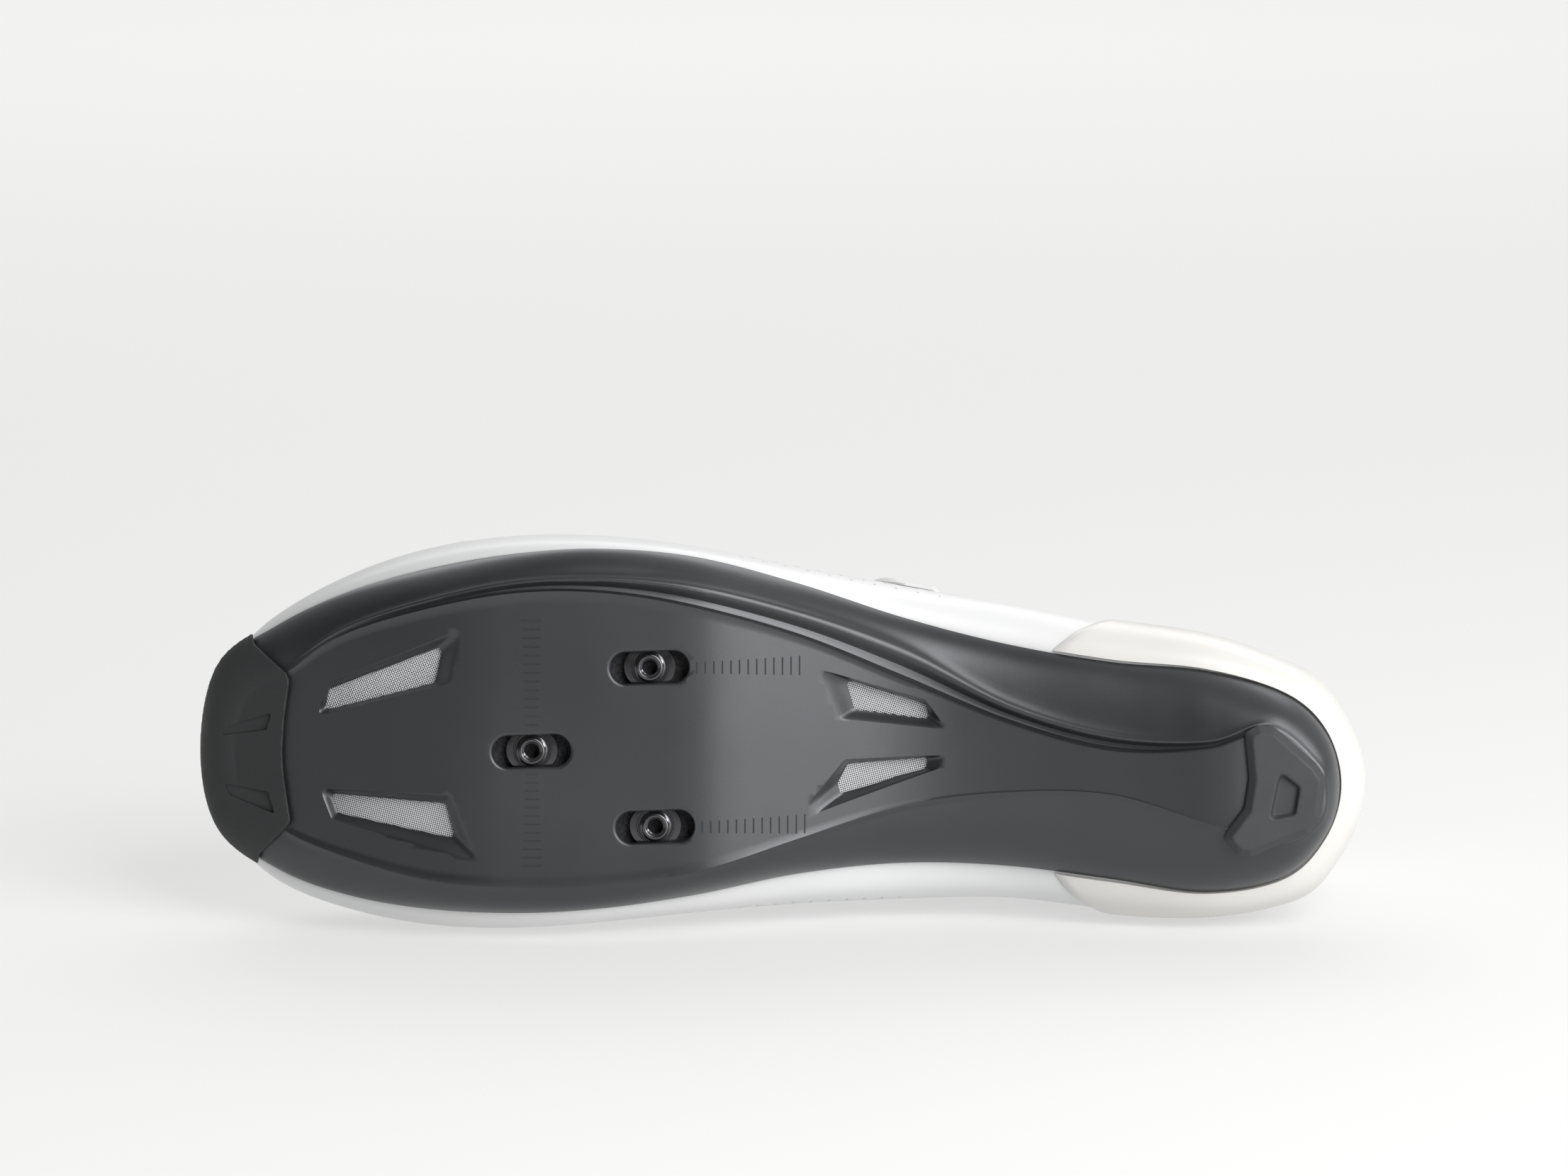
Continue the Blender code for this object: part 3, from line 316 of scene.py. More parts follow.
# Its oval flange: share of the full size, level and what is added to it
PLATE_FLANGE = ((0.985, "seat", 0.00012), (1.0, "seat", 0.00040), (1.0, "top", -0.0001), (0.97, "top", 0.0))

# Soft creases of the vamp, from one row and place to another
Crease = namedtuple("Crease", "row place last_row last_place width depth")
CREASES = (
    Crease(10.6, 1.10, 12.2, 1.60, 0.0042, 0.00045),
    Crease(9.7, 1.15, 11.0, 1.72, 0.0046, 0.00050),
    Crease(19.4, 1.10, 17.8, 1.60, 0.0042, 0.00045),
    Crease(20.3, 1.15, 19.0, 1.72, 0.0046, 0.00050),
    Crease(13.8, 1.35, 16.2, 1.35, 0.0060, 0.00035),
)

# Small holes along the arch: rows of each side's run, places of its lines, and sizes from end to end
HOLE_ROWS = ((22.45, 24.05), (7.55, 5.55))
HOLE_PLACES = (0.74, 0.90, 1.06)
HOLES = 10
HOLE_SIZES = (0.0027, 0.0011)
CHEVRONS_TO = 0.55
CHEVRON_LINE = 0.00030
DOT_SHARE = 0.30
HOLE_DEPTH = 0.0007
HOLE_REACH = 0.0008

# Stitched seams of the upper: first row, last row, points and place
SEAMS = ((5.6, 24.4, 300, 1.86), (5.6, 24.4, 300, 1.80), (-5.2, 5.2, 240, 1.90))

# Camera in the shoe's frame, for a 2212 by 1659 picture
CAMERA_PLACE = (0.1403, 0.1396, -1.2957)
CAMERA_TILT = math.radians(4.35)
CAMERA_LENS = 120.0
SENSOR_WIDTH = 36.0

# Lights in the row's frame: name, place, what it faces, size and watts
LIGHTS = (
    ("over", (0.70, -1.00, 1.02), (0.0, 0.0, 0.03), (0.9, 0.8), 16.0),
    ("side", (1.25, -0.65, 0.62), (0.0, 0.0, 0.03), (0.4, 0.4), 7.0),
    ("front", (0.55, -0.85, 0.22), (0.12, 0.0, 0.05), (0.7, 0.6), 5.2),
    ("back", (0.0, 3.0, 2.3), (0.0, 2.8, 0.0), (4.0, 2.8), 65.0),
)
# The world's strength runs from one value to the other between two directions along Y
WORLD_FALL = (-0.35, 0.20, 0.05, 0.70)
PAPER = (0.34, 0.34, 0.337)
PAPER_GLOW = 0.50


def length(share):
    return share * SOLE_LENGTH


def width(share):
    return share * BALL_WIDTH


def unit(vectors):
    size = np.linalg.norm(vectors, axis=-1, keepdims=True)
    return vectors / np.maximum(size, 1e-12)


def ramp(value, low, high):
    """Smooth step from 0 at low to 1 at high."""
    t = np.clip((np.asarray(value, float) - low) / (high - low), 0.0, 1.0)
    return t * t * (3 - 2 * t)


def bolt_centres():
    """Centres of the cleat bolts: front, rear outer, rear inner."""
    centre = np.array((length(CLEAT_CENTRE), CLEAT_SIDE))
    forward = np.array((math.cos(CLEAT_TURN), -math.sin(CLEAT_TURN)))
    outward = np.array((math.sin(CLEAT_TURN), math.cos(CLEAT_TURN)))
    return {
        "front": centre + forward * BOLTS_AHEAD,
        "rear_lateral": centre + outward * BOLTS_APART / 2,
        "rear_medial": centre - outward * BOLTS_APART / 2,
    }


def shoe_frame():
    """Matrix from the shoe's frame to the row's, from the cleat face and the plates' slide."""
    mount = frame["record"]["mounts"][0]
    up = -Vector(mount["axis"]).normalized()
    slide = Vector(frame["joints"][0]["axis"]).normalized()
    across = up.cross(slide).normalized()
    slide = across.cross(up)
    forward = slide * math.cos(CLEAT_TURN) + across * math.sin(CLEAT_TURN)
    outward = across * math.cos(CLEAT_TURN) - slide * math.sin(CLEAT_TURN)
    rotation = Matrix((forward, outward, up)).transposed()
    known = Vector((*CLEAT_FACE_POINT, CLEAT_SHARE * ARCH_RISE))
    place = Vector(mount["pos_m"]) - rotation @ known
    return Matrix.Translation(place) @ rotation.to_4x4()


SHOE = shoe_frame()
TURN = np.array(SHOE.to_3x3())
PLACE = np.array(SHOE.translation)


def to_world(points):
    return np.asarray(points, float) @ TURN.T + PLACE


# Curves and surfaces of the shoe, for whole arrays of rows at once


def row_points(part, rise=None):
    points = []
    for row in ROWS:
        x = length(getattr(row, part + "_along"))
        y = width(getattr(row, part + "_out"))
        z = getattr(row, part + "_rise") * rise if rise else 0.0
        points.append((x, y, z))
    return np.array(points)


RIM = row_points("rim", TOE_SPRING)
EDGE = row_points("edge")
BELLY = row_points("belly", BELLY_RISE)
TOP = row_points("top", THROAT_RISE)
FULLNESS = np.array([row.fullness for row in ROWS])
LIP = np.array([width(row.lip) for row in ROWS])


def along_curve(points, position):
    """Points on the closed smooth curve through the rows, at fractional rows."""
    position = np.asarray(position, float)
    first = np.floor(position).astype(int)
    t = position - first
    if points.ndim == 2:
        t = t[..., None]
    a, b, c, d = (points[(first + step) % ROUND] for step in (-1, 0, 1, 2))
    return 0.5 * (2 * b + (c - a) * t + (2 * a - 5 * b + 4 * c - d) * t**2 + (3 * b - a - 3 * c + d) * t**3)


def platform_rise(x):
    """Height of the platform, its table's corners eased over about a centimetre."""
    shares, rises = zip(*PLATFORM)
    x = np.asarray(x, float)
    shifts = np.linspace(-PLATFORM_EASE, PLATFORM_EASE, 9)
    eased = np.mean([np.interp((x + s) / SOLE_LENGTH, shares, rises) for s in shifts], axis=0)
    return eased * ARCH_RISE


def platform_normal(x):
    step = PLATFORM_STEP
    slope = (platform_rise(x + step) - platform_rise(x - step)) / (2 * step)
    return unit(np.stack((-slope, np.zeros_like(slope), np.ones_like(slope)), axis=-1))


def edge_point(row):
    point = along_curve(EDGE, row)
    point[..., 2] = platform_rise(point[..., 0])
    return point


def flank_point(row, reach):
    """Smooth underside between the platform's edge, reach 0, and the rim, reach 1."""
    edge = edge_point(row)
    rim = along_curve(RIM, row)
    turn = reach * math.pi / 2
    outward = (1 - FLANK_ROUND) * reach + FLANK_ROUND * np.sin(turn)
    upward = (1 - FLANK_ROUND) * reach + FLANK_ROUND * (1 - np.cos(turn))
    return edge + (rim - edge) * np.stack((outward, outward, upward), axis=-1)


def flank_normal(row, reach):
    """Direction from the flank into the shoe, eased into the platform's at its edge."""
    low, high = np.maximum(reach - REACH_STEP, 0.0), np.minimum(reach + REACH_STEP, 1.0)
    across = flank_point(row, high) - flank_point(row, low)
    around = flank_point(row + ROW_STEP, reach) - flank_point(row - ROW_STEP, reach)
    normal = unit(np.cross(around, across))
    share = np.clip(1 - reach / EDGE_EASE, 0.0, 1.0)[..., None]
    return unit(normal + share * platform_normal(flank_point(row, np.zeros_like(reach))[..., 0]))


def flank_lifted(row, reach, lift):
    return flank_point(row, reach) + np.asarray(lift)[..., None] * flank_normal(row, reach)


def eased_curve(points, position):
    """Curve through the rows with its bends eased over part of a row."""
    return np.mean([along_curve(points, position + shift) for shift in ROW_EASE], axis=0)


def belly_section(row, place):
    """Upper from the rim, place 0, to its belly, 1, and up to the collar or throat edge, 2."""
    rim, belly, top = along_curve(RIM, row), eased_curve(BELLY, row), along_curve(TOP, row)
    turn = np.clip(place, 0, 1) * math.pi / 2
    below = rim + (belly - rim) * np.stack((np.sin(turn), np.sin(turn), 1 - np.cos(turn)), axis=-1)
    fullness = along_curve(FULLNESS, row)
    rest = np.clip(place - 1, 0, 1)
    turn = rest * math.pi / 2
    inward = (1 - fullness) * rest + fullness * (1 - np.cos(turn))
    upward = (1 - fullness) * rest + fullness * np.sin(turn)
    above = belly + (top - belly) * np.stack((inward, inward, upward), axis=-1)
    return np.where((np.asarray(place) <= 1)[..., None], below, above)


def upper_normal(row, place):
    low, high = np.maximum(place - PLACE_STEP, 0.0), np.minimum(place + PLACE_STEP, 2.0)
    up = belly_section(row, high) - belly_section(row, low)
    around = belly_section(row + ROW_STEP, place) - belly_section(row - ROW_STEP, place)
    return unit(np.cross(up, around))


def upper_offset(row, place, offset):
    row, place = np.broadcast_arrays(np.asarray(row, float), np.asarray(place, float))
    return belly_section(row, place) + np.asarray(offset)[..., None] * upper_normal(row, place)


def groove_share(row):
    rows, shares = zip(*GROOVE)
    return np.where(row <= rows[-1], np.interp(row, rows, shares), 0.0)


def lip_reach(row):
    span = np.linalg.norm((along_curve(RIM, row) - edge_point(row))[..., :2], axis=-1)
    return np.minimum(LIP_LIMIT, LIP_SHARE * along_curve(LIP, row) / span), span


def sole_relief(row, reach):
    """How far the outer face of the sole sinks into the shell: groove, lip and edge bead."""
    lip, span = lip_reach(row)
    s = reach / lip
    share = groove_share(row)
    sunk = ramp(s, *GROOVE_SIDES[:2]) * (1 - ramp(s, *GROOVE_SIDES[2:]))
    crest = np.exp(-(((s - CREST_AT) / CREST_WIDTH) ** 2))
    bead = np.exp(-((reach * span / BEAD_WIDTH) ** 2))
    return GROOVE_DEPTH * share * sunk - LIP_PROUD * share * crest - BEAD_PROUD * bead


# Meshes


def add_object(name, points, faces, sharp=35.0, world=True):
    data = bpy.data.meshes.new(name)
    data.from_pydata([tuple(p) for p in (to_world(points) if world else points)], [], faces)
    mesh = bmesh.new()
    mesh.from_mesh(data)
    bmesh.ops.delete(mesh, geom=[v for v in mesh.verts if not v.link_faces], context="VERTS")
    bmesh.ops.recalc_face_normals(mesh, faces=mesh.faces)
    closed = all(len(edge.link_faces) == 2 for edge in mesh.edges)
    if closed and mesh.calc_volume(signed=True) < 0:
        bmesh.ops.reverse_faces(mesh, faces=mesh.faces)
    mesh.to_mesh(data)
    mesh.free()
    return link(name, data, sharp)


def link(name, data, sharp):
    data.shade_smooth()
    data.set_sharp_from_angle(angle=math.radians(sharp))
    item = bpy.data.objects.new(name, data)
    bpy.context.scene.collection.objects.link(item)
    return item


def settle(item, sharp):
    """Applies the object's modifiers to its mesh."""
    bpy.context.view_layer.update()
    depsgraph = bpy.context.evaluated_depsgraph_get()
    data = bpy.data.meshes.new_from_object(item.evaluated_get(depsgraph))
    item.modifiers.clear()
    old = item.data
    item.data = data
    bpy.data.meshes.remove(old)
    data.shade_smooth()
    data.set_sharp_from_angle(angle=math.radians(sharp))
    return item


def cut(item, cutters, operation="DIFFERENCE", sharp=35.0):
    for cutter in cutters:
        modifier = item.modifiers.new("cut", "BOOLEAN")
        modifier.operation = operation
        modifier.solver = "MANIFOLD"
        modifier.object = cutter
        settle(item, sharp)
        bpy.data.objects.remove(cutter)
    return item


def grid_quads(rows, columns, wrap=False):
    quads = []
    for i in range(rows if wrap else rows - 1):
        for j in range(columns - 1):
            a = i * columns + j
            b = ((i + 1) % rows) * columns + j
            quads.append((a, b, b + 1, a + 1))
    return quads


def shell_faces(count, quads):
    """Faces of a solid between two sheets of count points each, walled along open edges."""
    faces = list(quads) + [tuple(i + count for i in reversed(quad)) for quad in quads]
    sides = {}
    for quad in quads:
        for start, end in zip(quad, quad[1:] + quad[:1]):
            key = (min(start, end), max(start, end))
            sides.setdefault(key, []).append((start, end))
    for uses in sides.values():
        if len(uses) == 1:
            start, end = uses[0]
            faces.append((start, start + count, end + count, end))
    return faces


def closed_shell(name, lower, upper, quads, sharp=35.0):
    return add_object(name, np.vstack((lower, upper)), shell_faces(len(lower), quads), sharp)


def stack_faces(size, count, wrap=False):
    """Faces between count loops of size points, capped at both ends or joined end to end."""
    faces = []
    for level in range(count if wrap else count - 1):
        low, high = level * size, (level + 1) % count * size
        for i in range(size):
            j = (i + 1) % size
            faces.append((low + i, low + j, high + j, high + i))
    if not wrap:
        faces.append(tuple(reversed(range(size))))
        faces.append(tuple(range((count - 1) * size, count * size)))
    return faces


def stacked(name, loops):
    return add_object(name, np.vstack(loops), stack_faces(len(loops[0]), len(loops)))


def joined(name, parts, sharp=35.0):
    """One mesh from several (points, faces) parts."""
    points, faces, start = [], [], 0
    for part_points, part_faces in parts:
        points.append(np.asarray(part_points, float))
        faces += [tuple(i + start for i in face) for face in part_faces]
        start += len(part_points)
    return add_object(name, np.vstack(points), faces, sharp)


def rounded_outline(corners, radius, arc_steps=8, side_steps=10):
    """Points round a polygon with rounded corners; the same count for like polygons."""
    corners = [np.array(corner, float) for corner in corners]
    count = len(corners)
    arcs = []
    for i, corner in enumerate(corners):
        before, after = corners[i - 1] - corner, corners[(i + 1) % count] - corner
        room = CORNER_ROOM * min(np.linalg.norm(before), np.linalg.norm(after))
        before, after = unit(before), unit(after)
        half = math.acos(float(np.clip(before @ after, -1, 1))) / 2
        cut_back = min(radius / math.tan(half), room)
        start, end = corner + before * cut_back, corner + after * cut_back
        steps = [step / arc_steps for step in range(arc_steps + 1)]
        arcs.append([(1 - t) ** 2 * start + 2 * t * (1 - t) * corner + t**2 * end for t in steps])
    points = []
    for i, arc in enumerate(arcs):
        points += arc
        start, end = arc[-1], arcs[(i + 1) % count][0]
        points += [start + (end - start) * step / side_steps for step in range(1, side_steps)]
    return np.array(points)


def places(pairs):
    return [(length(x), width(y)) for x, y in pairs]


def lifted(outline, lift):
    """Outline laid on the platform, or lifted off it into the shoe."""
    outline = np.asarray(outline, float)
    return np.column_stack((outline, platform_rise(outline[:, 0]) + lift))


def at_height(outline, z):
    outline = np.asarray(outline, float)
    return np.column_stack((outline, np.full(len(outline), z)))


def stadium(centre, total_length, total_width, count=48):
    straight = (total_length - total_width) / 2
    angle = 2 * math.pi * (np.arange(count) + 0.5) / count
    x = np.copysign(straight, np.cos(angle)) + total_width / 2 * np.cos(angle)
    y = total_width / 2 * np.sin(angle)
    c, s = math.cos(-CLEAT_TURN), math.sin(-CLEAT_TURN)
    return np.column_stack((centre[0] + c * x - s * y, centre[1] + s * x + c * y))


def end_rows(steps):
    """Steps of the platform's heel and toe ends, each from the outer side to the inner."""
    columns = 2 * FIRST_SIDE_ROW * steps + 1
    heel = [(FIRST_SIDE_ROW * steps - i) % (ROUND * steps) for i in range(columns)]
    return heel, [LAST_SIDE_ROW * steps + i for i in range(columns)]


def platform_line(start, end, share, lift):
    """Points across the platform between two of its edge points, lifted into the shoe."""
    plan = start[None, :2] + (end - start)[None, :2] * share
    return np.column_stack((plan, platform_rise(plan[:, 0]))) + lift * platform_normal(plan[:, 0])


def sole_sheet(lift, lift_at_rim, relief=False):
    """Points and faces of the underside, lifted into the shoe."""
    steps, rings = SOLE_STEPS, SOLE_RINGS
    total = ROUND * steps
    row = np.repeat(np.arange(total) / steps, rings + 1)
    ring = np.tile(np.arange(rings + 1), total)
    zone = LIP_ZONE * lip_reach(row)[0]
    near = rings // 2
    reach = np.where(ring <= near, zone * ring / near, zone + (1 - zone) * (ring - near) / (rings - near))
    depth = lift + (lift_at_rim - lift) * reach**2
    if relief:
        depth = depth + sole_relief(row, reach)
    points = [flank_lifted(row, reach, depth)]

    heel, toe = end_rows(steps)
    columns = len(heel)
    start_index = total * (rings + 1)
    ladder = [[k * (rings + 1) for k in heel]]
    share = (np.arange(1, columns - 1) / (columns - 1))[:, None]
    for outer in range(FIRST_SIDE_ROW * steps + 1, LAST_SIDE_ROW * steps):
        inner = total - outer
        points.append(platform_line(edge_point(outer / steps), edge_point(inner / steps), share, lift))
        between = list(range(start_index, start_index + columns - 2))
        start_index += columns - 2
        ladder.append([outer * (rings + 1)] + between + [inner * (rings + 1)])
    ladder.append([k * (rings + 1) for k in toe])
    quads = [tuple(reversed(quad)) for quad in grid_quads(total, rings + 1, wrap=True)]
    for near_line, far_line in zip(ladder, ladder[1:]):
        for j in range(columns - 1):
            quads.append((near_line[j], far_line[j], far_line[j + 1], near_line[j + 1]))
    return np.vstack(points), quads


# Materials


def new_material(name, colour, roughness, metallic=0.0, coat=0.0, coat_roughness=0.1, specular=0.5):
    material = bpy.data.materials.new(name)
    material.use_nodes = True
    shader = material.node_tree.nodes["Principled BSDF"]
    shader.inputs["Base Color"].default_value = (*colour, 1.0)
    shader.inputs["Roughness"].default_value = roughness
    shader.inputs["Metallic"].default_value = metallic
    shader.inputs["Coat Weight"].default_value = coat
    shader.inputs["Coat Roughness"].default_value = coat_roughness
    shader.inputs["Specular IOR Level"].default_value = specular
    return material


class Graph:
    """Short calls for a material's nodes, all in object coordinates."""

    def __init__(self, material):
        self.nodes = material.node_tree.nodes
        self.links = material.node_tree.links
        self.shader = self.nodes["Principled BSDF"]
        self.place = self.nodes.new("ShaderNodeTexCoord").outputs["Object"]

    def node(self, kind, output, inputs, **settings):
        """Adds a node whose inputs take values or other nodes' outputs, and gives its output."""
        node = self.nodes.new("ShaderNode" + kind)
        for name, value in settings.items():
            setattr(node, name, value)
        for name, value in inputs.items():
            if isinstance(value, bpy.types.NodeSocket):
                self.links.new(value, node.inputs[name])
            else:
                node.inputs[name].default_value = value
        return node.outputs[output]

    def noise(self, scale, detail):
        return self.node("TexNoise", "Fac", {"Vector": self.place, "Scale": scale, "Detail": detail})

    def cells(self, scale):
        return self.node("TexVoronoi", "Distance", {"Vector": self.place, "Scale": scale})

    def blend(self, value, low, high, start, end):
        """Maps value from low..high to start..end."""
        ends = {"From Min": low, "From Max": high, "To Min": start, "To Max": end}
        return self.node("MapRange", "Result", {"Value": value, **ends})

    def colours(self, share, *ends):
        """Blends two colours, each given as three numbers or as a node's output."""
        first, last = (end if isinstance(end, bpy.types.NodeSocket) else (*end, 1.0) for end in ends)
        return self.node("Mix", 2, {0: share, 6: first, 7: last}, data_type="RGBA")

    def bump(self, height, strength, distance):
        inputs = {"Strength": strength, "Distance": distance, "Height": height}
        self.to("Normal", self.node("Bump", "Normal", inputs))

    def to(self, socket, value):
        self.links.new(value, self.shader.inputs[socket])


def composite_material():
    """Satin moulded composite with faint clouding, fine specks and uneven gloss."""
    material = new_material("composite_satin", (0.016, 0.0165, 0.0175), 0.40, specular=0.85)
    graph = Graph(material)
    clouds = graph.blend(graph.noise(22, 4), 0.35, 0.7, 0.0, 1.0)
    specks = graph.blend(graph.cells(700), 0.0, 0.06, 0.7, 0.0)
    sparse = graph.blend(graph.noise(70, 2), 0.62, 0.68, 0.0, 1.0)
    marks = graph.node("Math", "Value", {0: specks, 1: sparse}, operation="MULTIPLY")
    base = graph.colours(clouds, (0.013, 0.0133, 0.0142), (0.018, 0.0186, 0.020))
    graph.to("Base Color", graph.colours(marks, base, (0.16, 0.16, 0.16)))
    graph.to("Roughness", graph.blend(graph.noise(35, 4), 0.3, 0.7, 0.35, 0.42))
    graph.bump(graph.noise(1500, 2), 0.25, 0.00005)
    graph.shader.inputs["Specular Tint"].default_value = (0.93, 0.96, 1.0, 1.0)
    return material


def rubber_material(name, dark, light):
    material = new_material(name, light, 0.62, specular=0.4)
    graph = Graph(material)
    graph.to("Base Color", graph.colours(graph.noise(40, 4), dark, light))
    graph.to("Roughness", graph.blend(graph.noise(120, 3), 0.3, 0.7, 0.55, 0.68))
    graph.bump(graph.noise(2600, 3), 0.35, 0.00006)
    return material


def synthetic_material(name, light, shade, roughness, grain):
    """White coated microfibre or moulded overlay with a faint grain."""
    material = new_material(name, light, roughness, coat=0.12, coat_roughness=0.35, specular=0.4)
    graph = Graph(material)
    clouds = graph.blend(graph.noise(18, 3), 0.35, 0.7, 0.0, 1.0)
    graph.to("Base Color", graph.colours(clouds, light, shade))
    graph.to("Roughness", graph.blend(graph.noise(70, 3), 0.3, 0.7, roughness - 0.05, roughness + 0.06))
    graph.bump(graph.noise(2200, 2), grain, 0.00005)
    return material


def fabric_material(name, light, shade, scale, depth):
    """Knitted or woven cloth: fine cells over a soft mottling."""
    material = new_material(name, light, 0.85, specular=0.25)
    material.node_tree.nodes["Principled BSDF"].inputs["Sheen Weight"].default_value = 0.25
    graph = Graph(material)
    cells = graph.cells(scale)
    graph.to("Base Color", graph.colours(graph.blend(cells, 0.1, 0.7, 0.0, 1.0), light, shade))
    graph.bump(cells, 0.6, depth)
    return material


def metal_material(name, colour, roughness, metallic):
    material = new_material(name, colour, roughness, metallic)
    graph = Graph(material)
    graph.to("Roughness", graph.blend(graph.noise(300, 3), 0.3, 0.7, roughness - 0.04, roughness + 0.08))
    return material


COMPOSITE = composite_material()
RUBBER = rubber_material("rubber_matte", (0.021, 0.022, 0.023), (0.029, 0.030, 0.031))
PAD_RUBBER = rubber_material("rubber_heel", (0.034, 0.035, 0.037), (0.043, 0.044, 0.047))
SKIN_WHITE = synthetic_material("synthetic_white", (0.66, 0.66, 0.66), (0.63, 0.635, 0.64), 0.42, 0.2)
CUP_WHITE = synthetic_material("overlay_white", (0.62, 0.61, 0.585), (0.60, 0.59, 0.565), 0.34, 0.08)
STRAP_WHITE = synthetic_material("strap_white", (0.68, 0.68, 0.675), (0.65, 0.65, 0.65), 0.46, 0.3)
TONGUE_WHITE = fabric_material("tongue_knit", (0.72, 0.72, 0.71), (0.55, 0.55, 0.55), 1500, 0.00012)
LINING_DARK = fabric_material("lining_knit", (0.050, 0.051, 0.055), (0.022, 0.022, 0.024), 1300, 0.00015)
BINDING = fabric_material("binding_tape", (0.70, 0.70, 0.69), (0.60, 0.60, 0.60), 2600, 0.00008)
THREAD = fabric_material("sewing_thread", (0.74, 0.74, 0.73), (0.55, 0.55, 0.55), 3500, 0.00006)
PLATE = metal_material("plated_black", (0.10, 0.10, 0.105), 0.20, 0.9)
WIRE = metal_material("wire_grey", (0.78, 0.79, 0.80), 0.36, 0.35)


def dress(item, material, slot, *nodes, body="shoe"):
    item.data.materials.clear()
    item.data.materials.append(material)
    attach(item, body)
    if nodes:
        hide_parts(*nodes)
    return item


# Sole


def vent_cutter(name, mouth, window):
    """Soft-lipped funnel from the recess's mouth to its window, then straight through."""
    mouth = rounded_outline(places(mouth), VENT_CORNER)
    window = rounded_outline(places(window), WINDOW_CORNER)
    loops = [lifted(mouth, -CUTTER_REACH)]
    for t in np.arange(VENT_STEPS + 1) / VENT_STEPS:
        slope = (1 - VENT_SOFTNESS) * t + VENT_SOFTNESS * float(ramp(t, 0.0, 1.0))
        loops.append(lifted(mouth + (window - mouth) * t, VENT_DEPTH * slope - VENT_CLEAR))
    loops.append(lifted(window, 3 * SHELL))
    return stacked("vent_cut_" + name, loops)


def slot_cutter(name, centre):
    """Slot with rounded lips, straight through the shell."""
    floor = CLEAT_SHARE * ARCH_RISE

    def loop(grow, rise):
        return at_height(stadium(centre, SLOT_LENGTH + 2 * grow, SLOT_WIDTH + 2 * grow), floor + rise)

    loops = [loop(SLOT_FILLET, -CUTTER_REACH)]
    for angle in np.arange(FILLET_STEPS + 1) / FILLET_STEPS * math.pi / 2:
        sink = SLOT_FILLET * (1 - math.cos(angle)) + SLOT_CLEAR
        loops.append(loop(SLOT_FILLET * (1 - math.sin(angle)), sink))
    loops.append(loop(0.0, 3 * SHELL))
    return stacked("slot_cut_" + name, loops)


def tick_boxes():
    """Cutters of the engraved marks: columns beside the front slot, a row behind each rear one."""
    corners = np.array(((-1, -1), (1, -1), (1, 1), (-1, 1)))
    parts = []
    for ticks in TICKS:
        places_away = np.linspace(ticks.first, ticks.last, ticks.count)
        sizes = np.linspace(ticks.first_size, ticks.last_size, ticks.count)
        for away, size in zip(places_away, sizes):
            # Beside a slot the marks lie along the shoe, and behind it across the shoe
            half = np.array((size, TICK_WIDTH) if ticks.beside else (TICK_WIDTH, size)) / 2
            centre = bolt_centres()[ticks.bolt] + ((0.0, away) if ticks.beside else (away, 0.0))
            outline = corners * half + centre
            rise = float(platform_rise(centre[0]))
            loops = (at_height(outline, rise - SHALLOW_REACH), at_height(outline, rise + TICK_DEPTH))
            parts.append((np.vstack(loops), stack_faces(4, 2)))
    return joined("tick_cut", parts)


def make_sole():
    lower, quads = sole_sheet(0.0, 0.0, relief=True)
    upper, _ = sole_sheet(SHELL, SHELL_RIM)
    sole = closed_shell("sole_moulding", lower, upper, quads)
    cutters = [vent_cutter(name, *outlines) for name, outlines in VENTS.items()]
    cutters += [slot_cutter(name, centre) for name, centre in bolt_centres().items()]
    cutters.append(tick_boxes())
    cut(sole, cutters, sharp=32.0)
    dress(sole, COMPOSITE, "composite", "outsole")


def soften(item, voxel, rounds):
    """Remeshes a solid evenly and smooths it, which rounds its edges."""
    remesh = item.modifiers.new("remesh", "REMESH")
    remesh.mode = "VOXEL"
    remesh.voxel_size = voxel
    smooth = item.modifiers.new("smooth", "SMOOTH")
    smooth.factor = 0.5
    smooth.iterations = rounds
    return settle(item, 80.0)


def mark_cutter(name, corners, tree):
    """Dimple into the bumper, its floor as deep below the face all along, deeper to the back."""
    into = SHOE.to_3x3() @ Vector((0.0, 0.0, 1.0))
    mark = rounded_outline(places(corners), MARK_CORNER)
    outside = lifted(mark, -8 * BUMPER)
    floor = []
    for point in outside:
        hit = tree.ray_cast(Vector(to_world(point)), into)[0]
        deeper = float(ramp(point[0], mark[:, 0].max(), mark[:, 0].min()))
        depth = (MARK_FRONT_SHARE + (1 - MARK_FRONT_SHARE) * deeper) * MARK_DEPTH
        floor.append(SHOE.inverted() @ hit + Vector((0.0, 0.0, depth)))
    return stacked(name, [outside, np.array(floor)])


def make_bumper():
    near, quads = sole_sheet(-GAP, -GAP)
    far, _ = sole_sheet(-GAP - BUMPER, -GAP - BUMPER)
    behind = length(min(x for x, _ in BUMPER_BACK)) - BUMPER_MARGIN
    quads = [quad for quad in quads if all(near[i][0] > behind for i in quad)]
    bumper = closed_shell("toe_bumper_rubber", near, far, quads)
    outline = places(BUMPER_BACK)
    ahead, aside, reach = 1.1 * SOLE_LENGTH, BALL_WIDTH, 3 * TOE_SPRING
    outline += [(length(1.0), -aside), (ahead, -aside), (ahead, aside), (length(1.0), aside)]
    trim = stacked("bumper_trim", [at_height(outline, -reach), at_height(outline, reach)])
    cut(bumper, [trim], "INTERSECT")
    soften(bumper, BUMPER_VOXEL, 8)
    tree = BVHTree.FromObject(bumper, bpy.context.evaluated_depsgraph_get())
    marks = [mark_cutter(f"bumper_mark_{i}", corners, tree) for i, corners in enumerate(BUMPER_MARKS)]
    cut(bumper, marks, sharp=30.0)
    dress(bumper, RUBBER, "rubber", "toe_bumper")


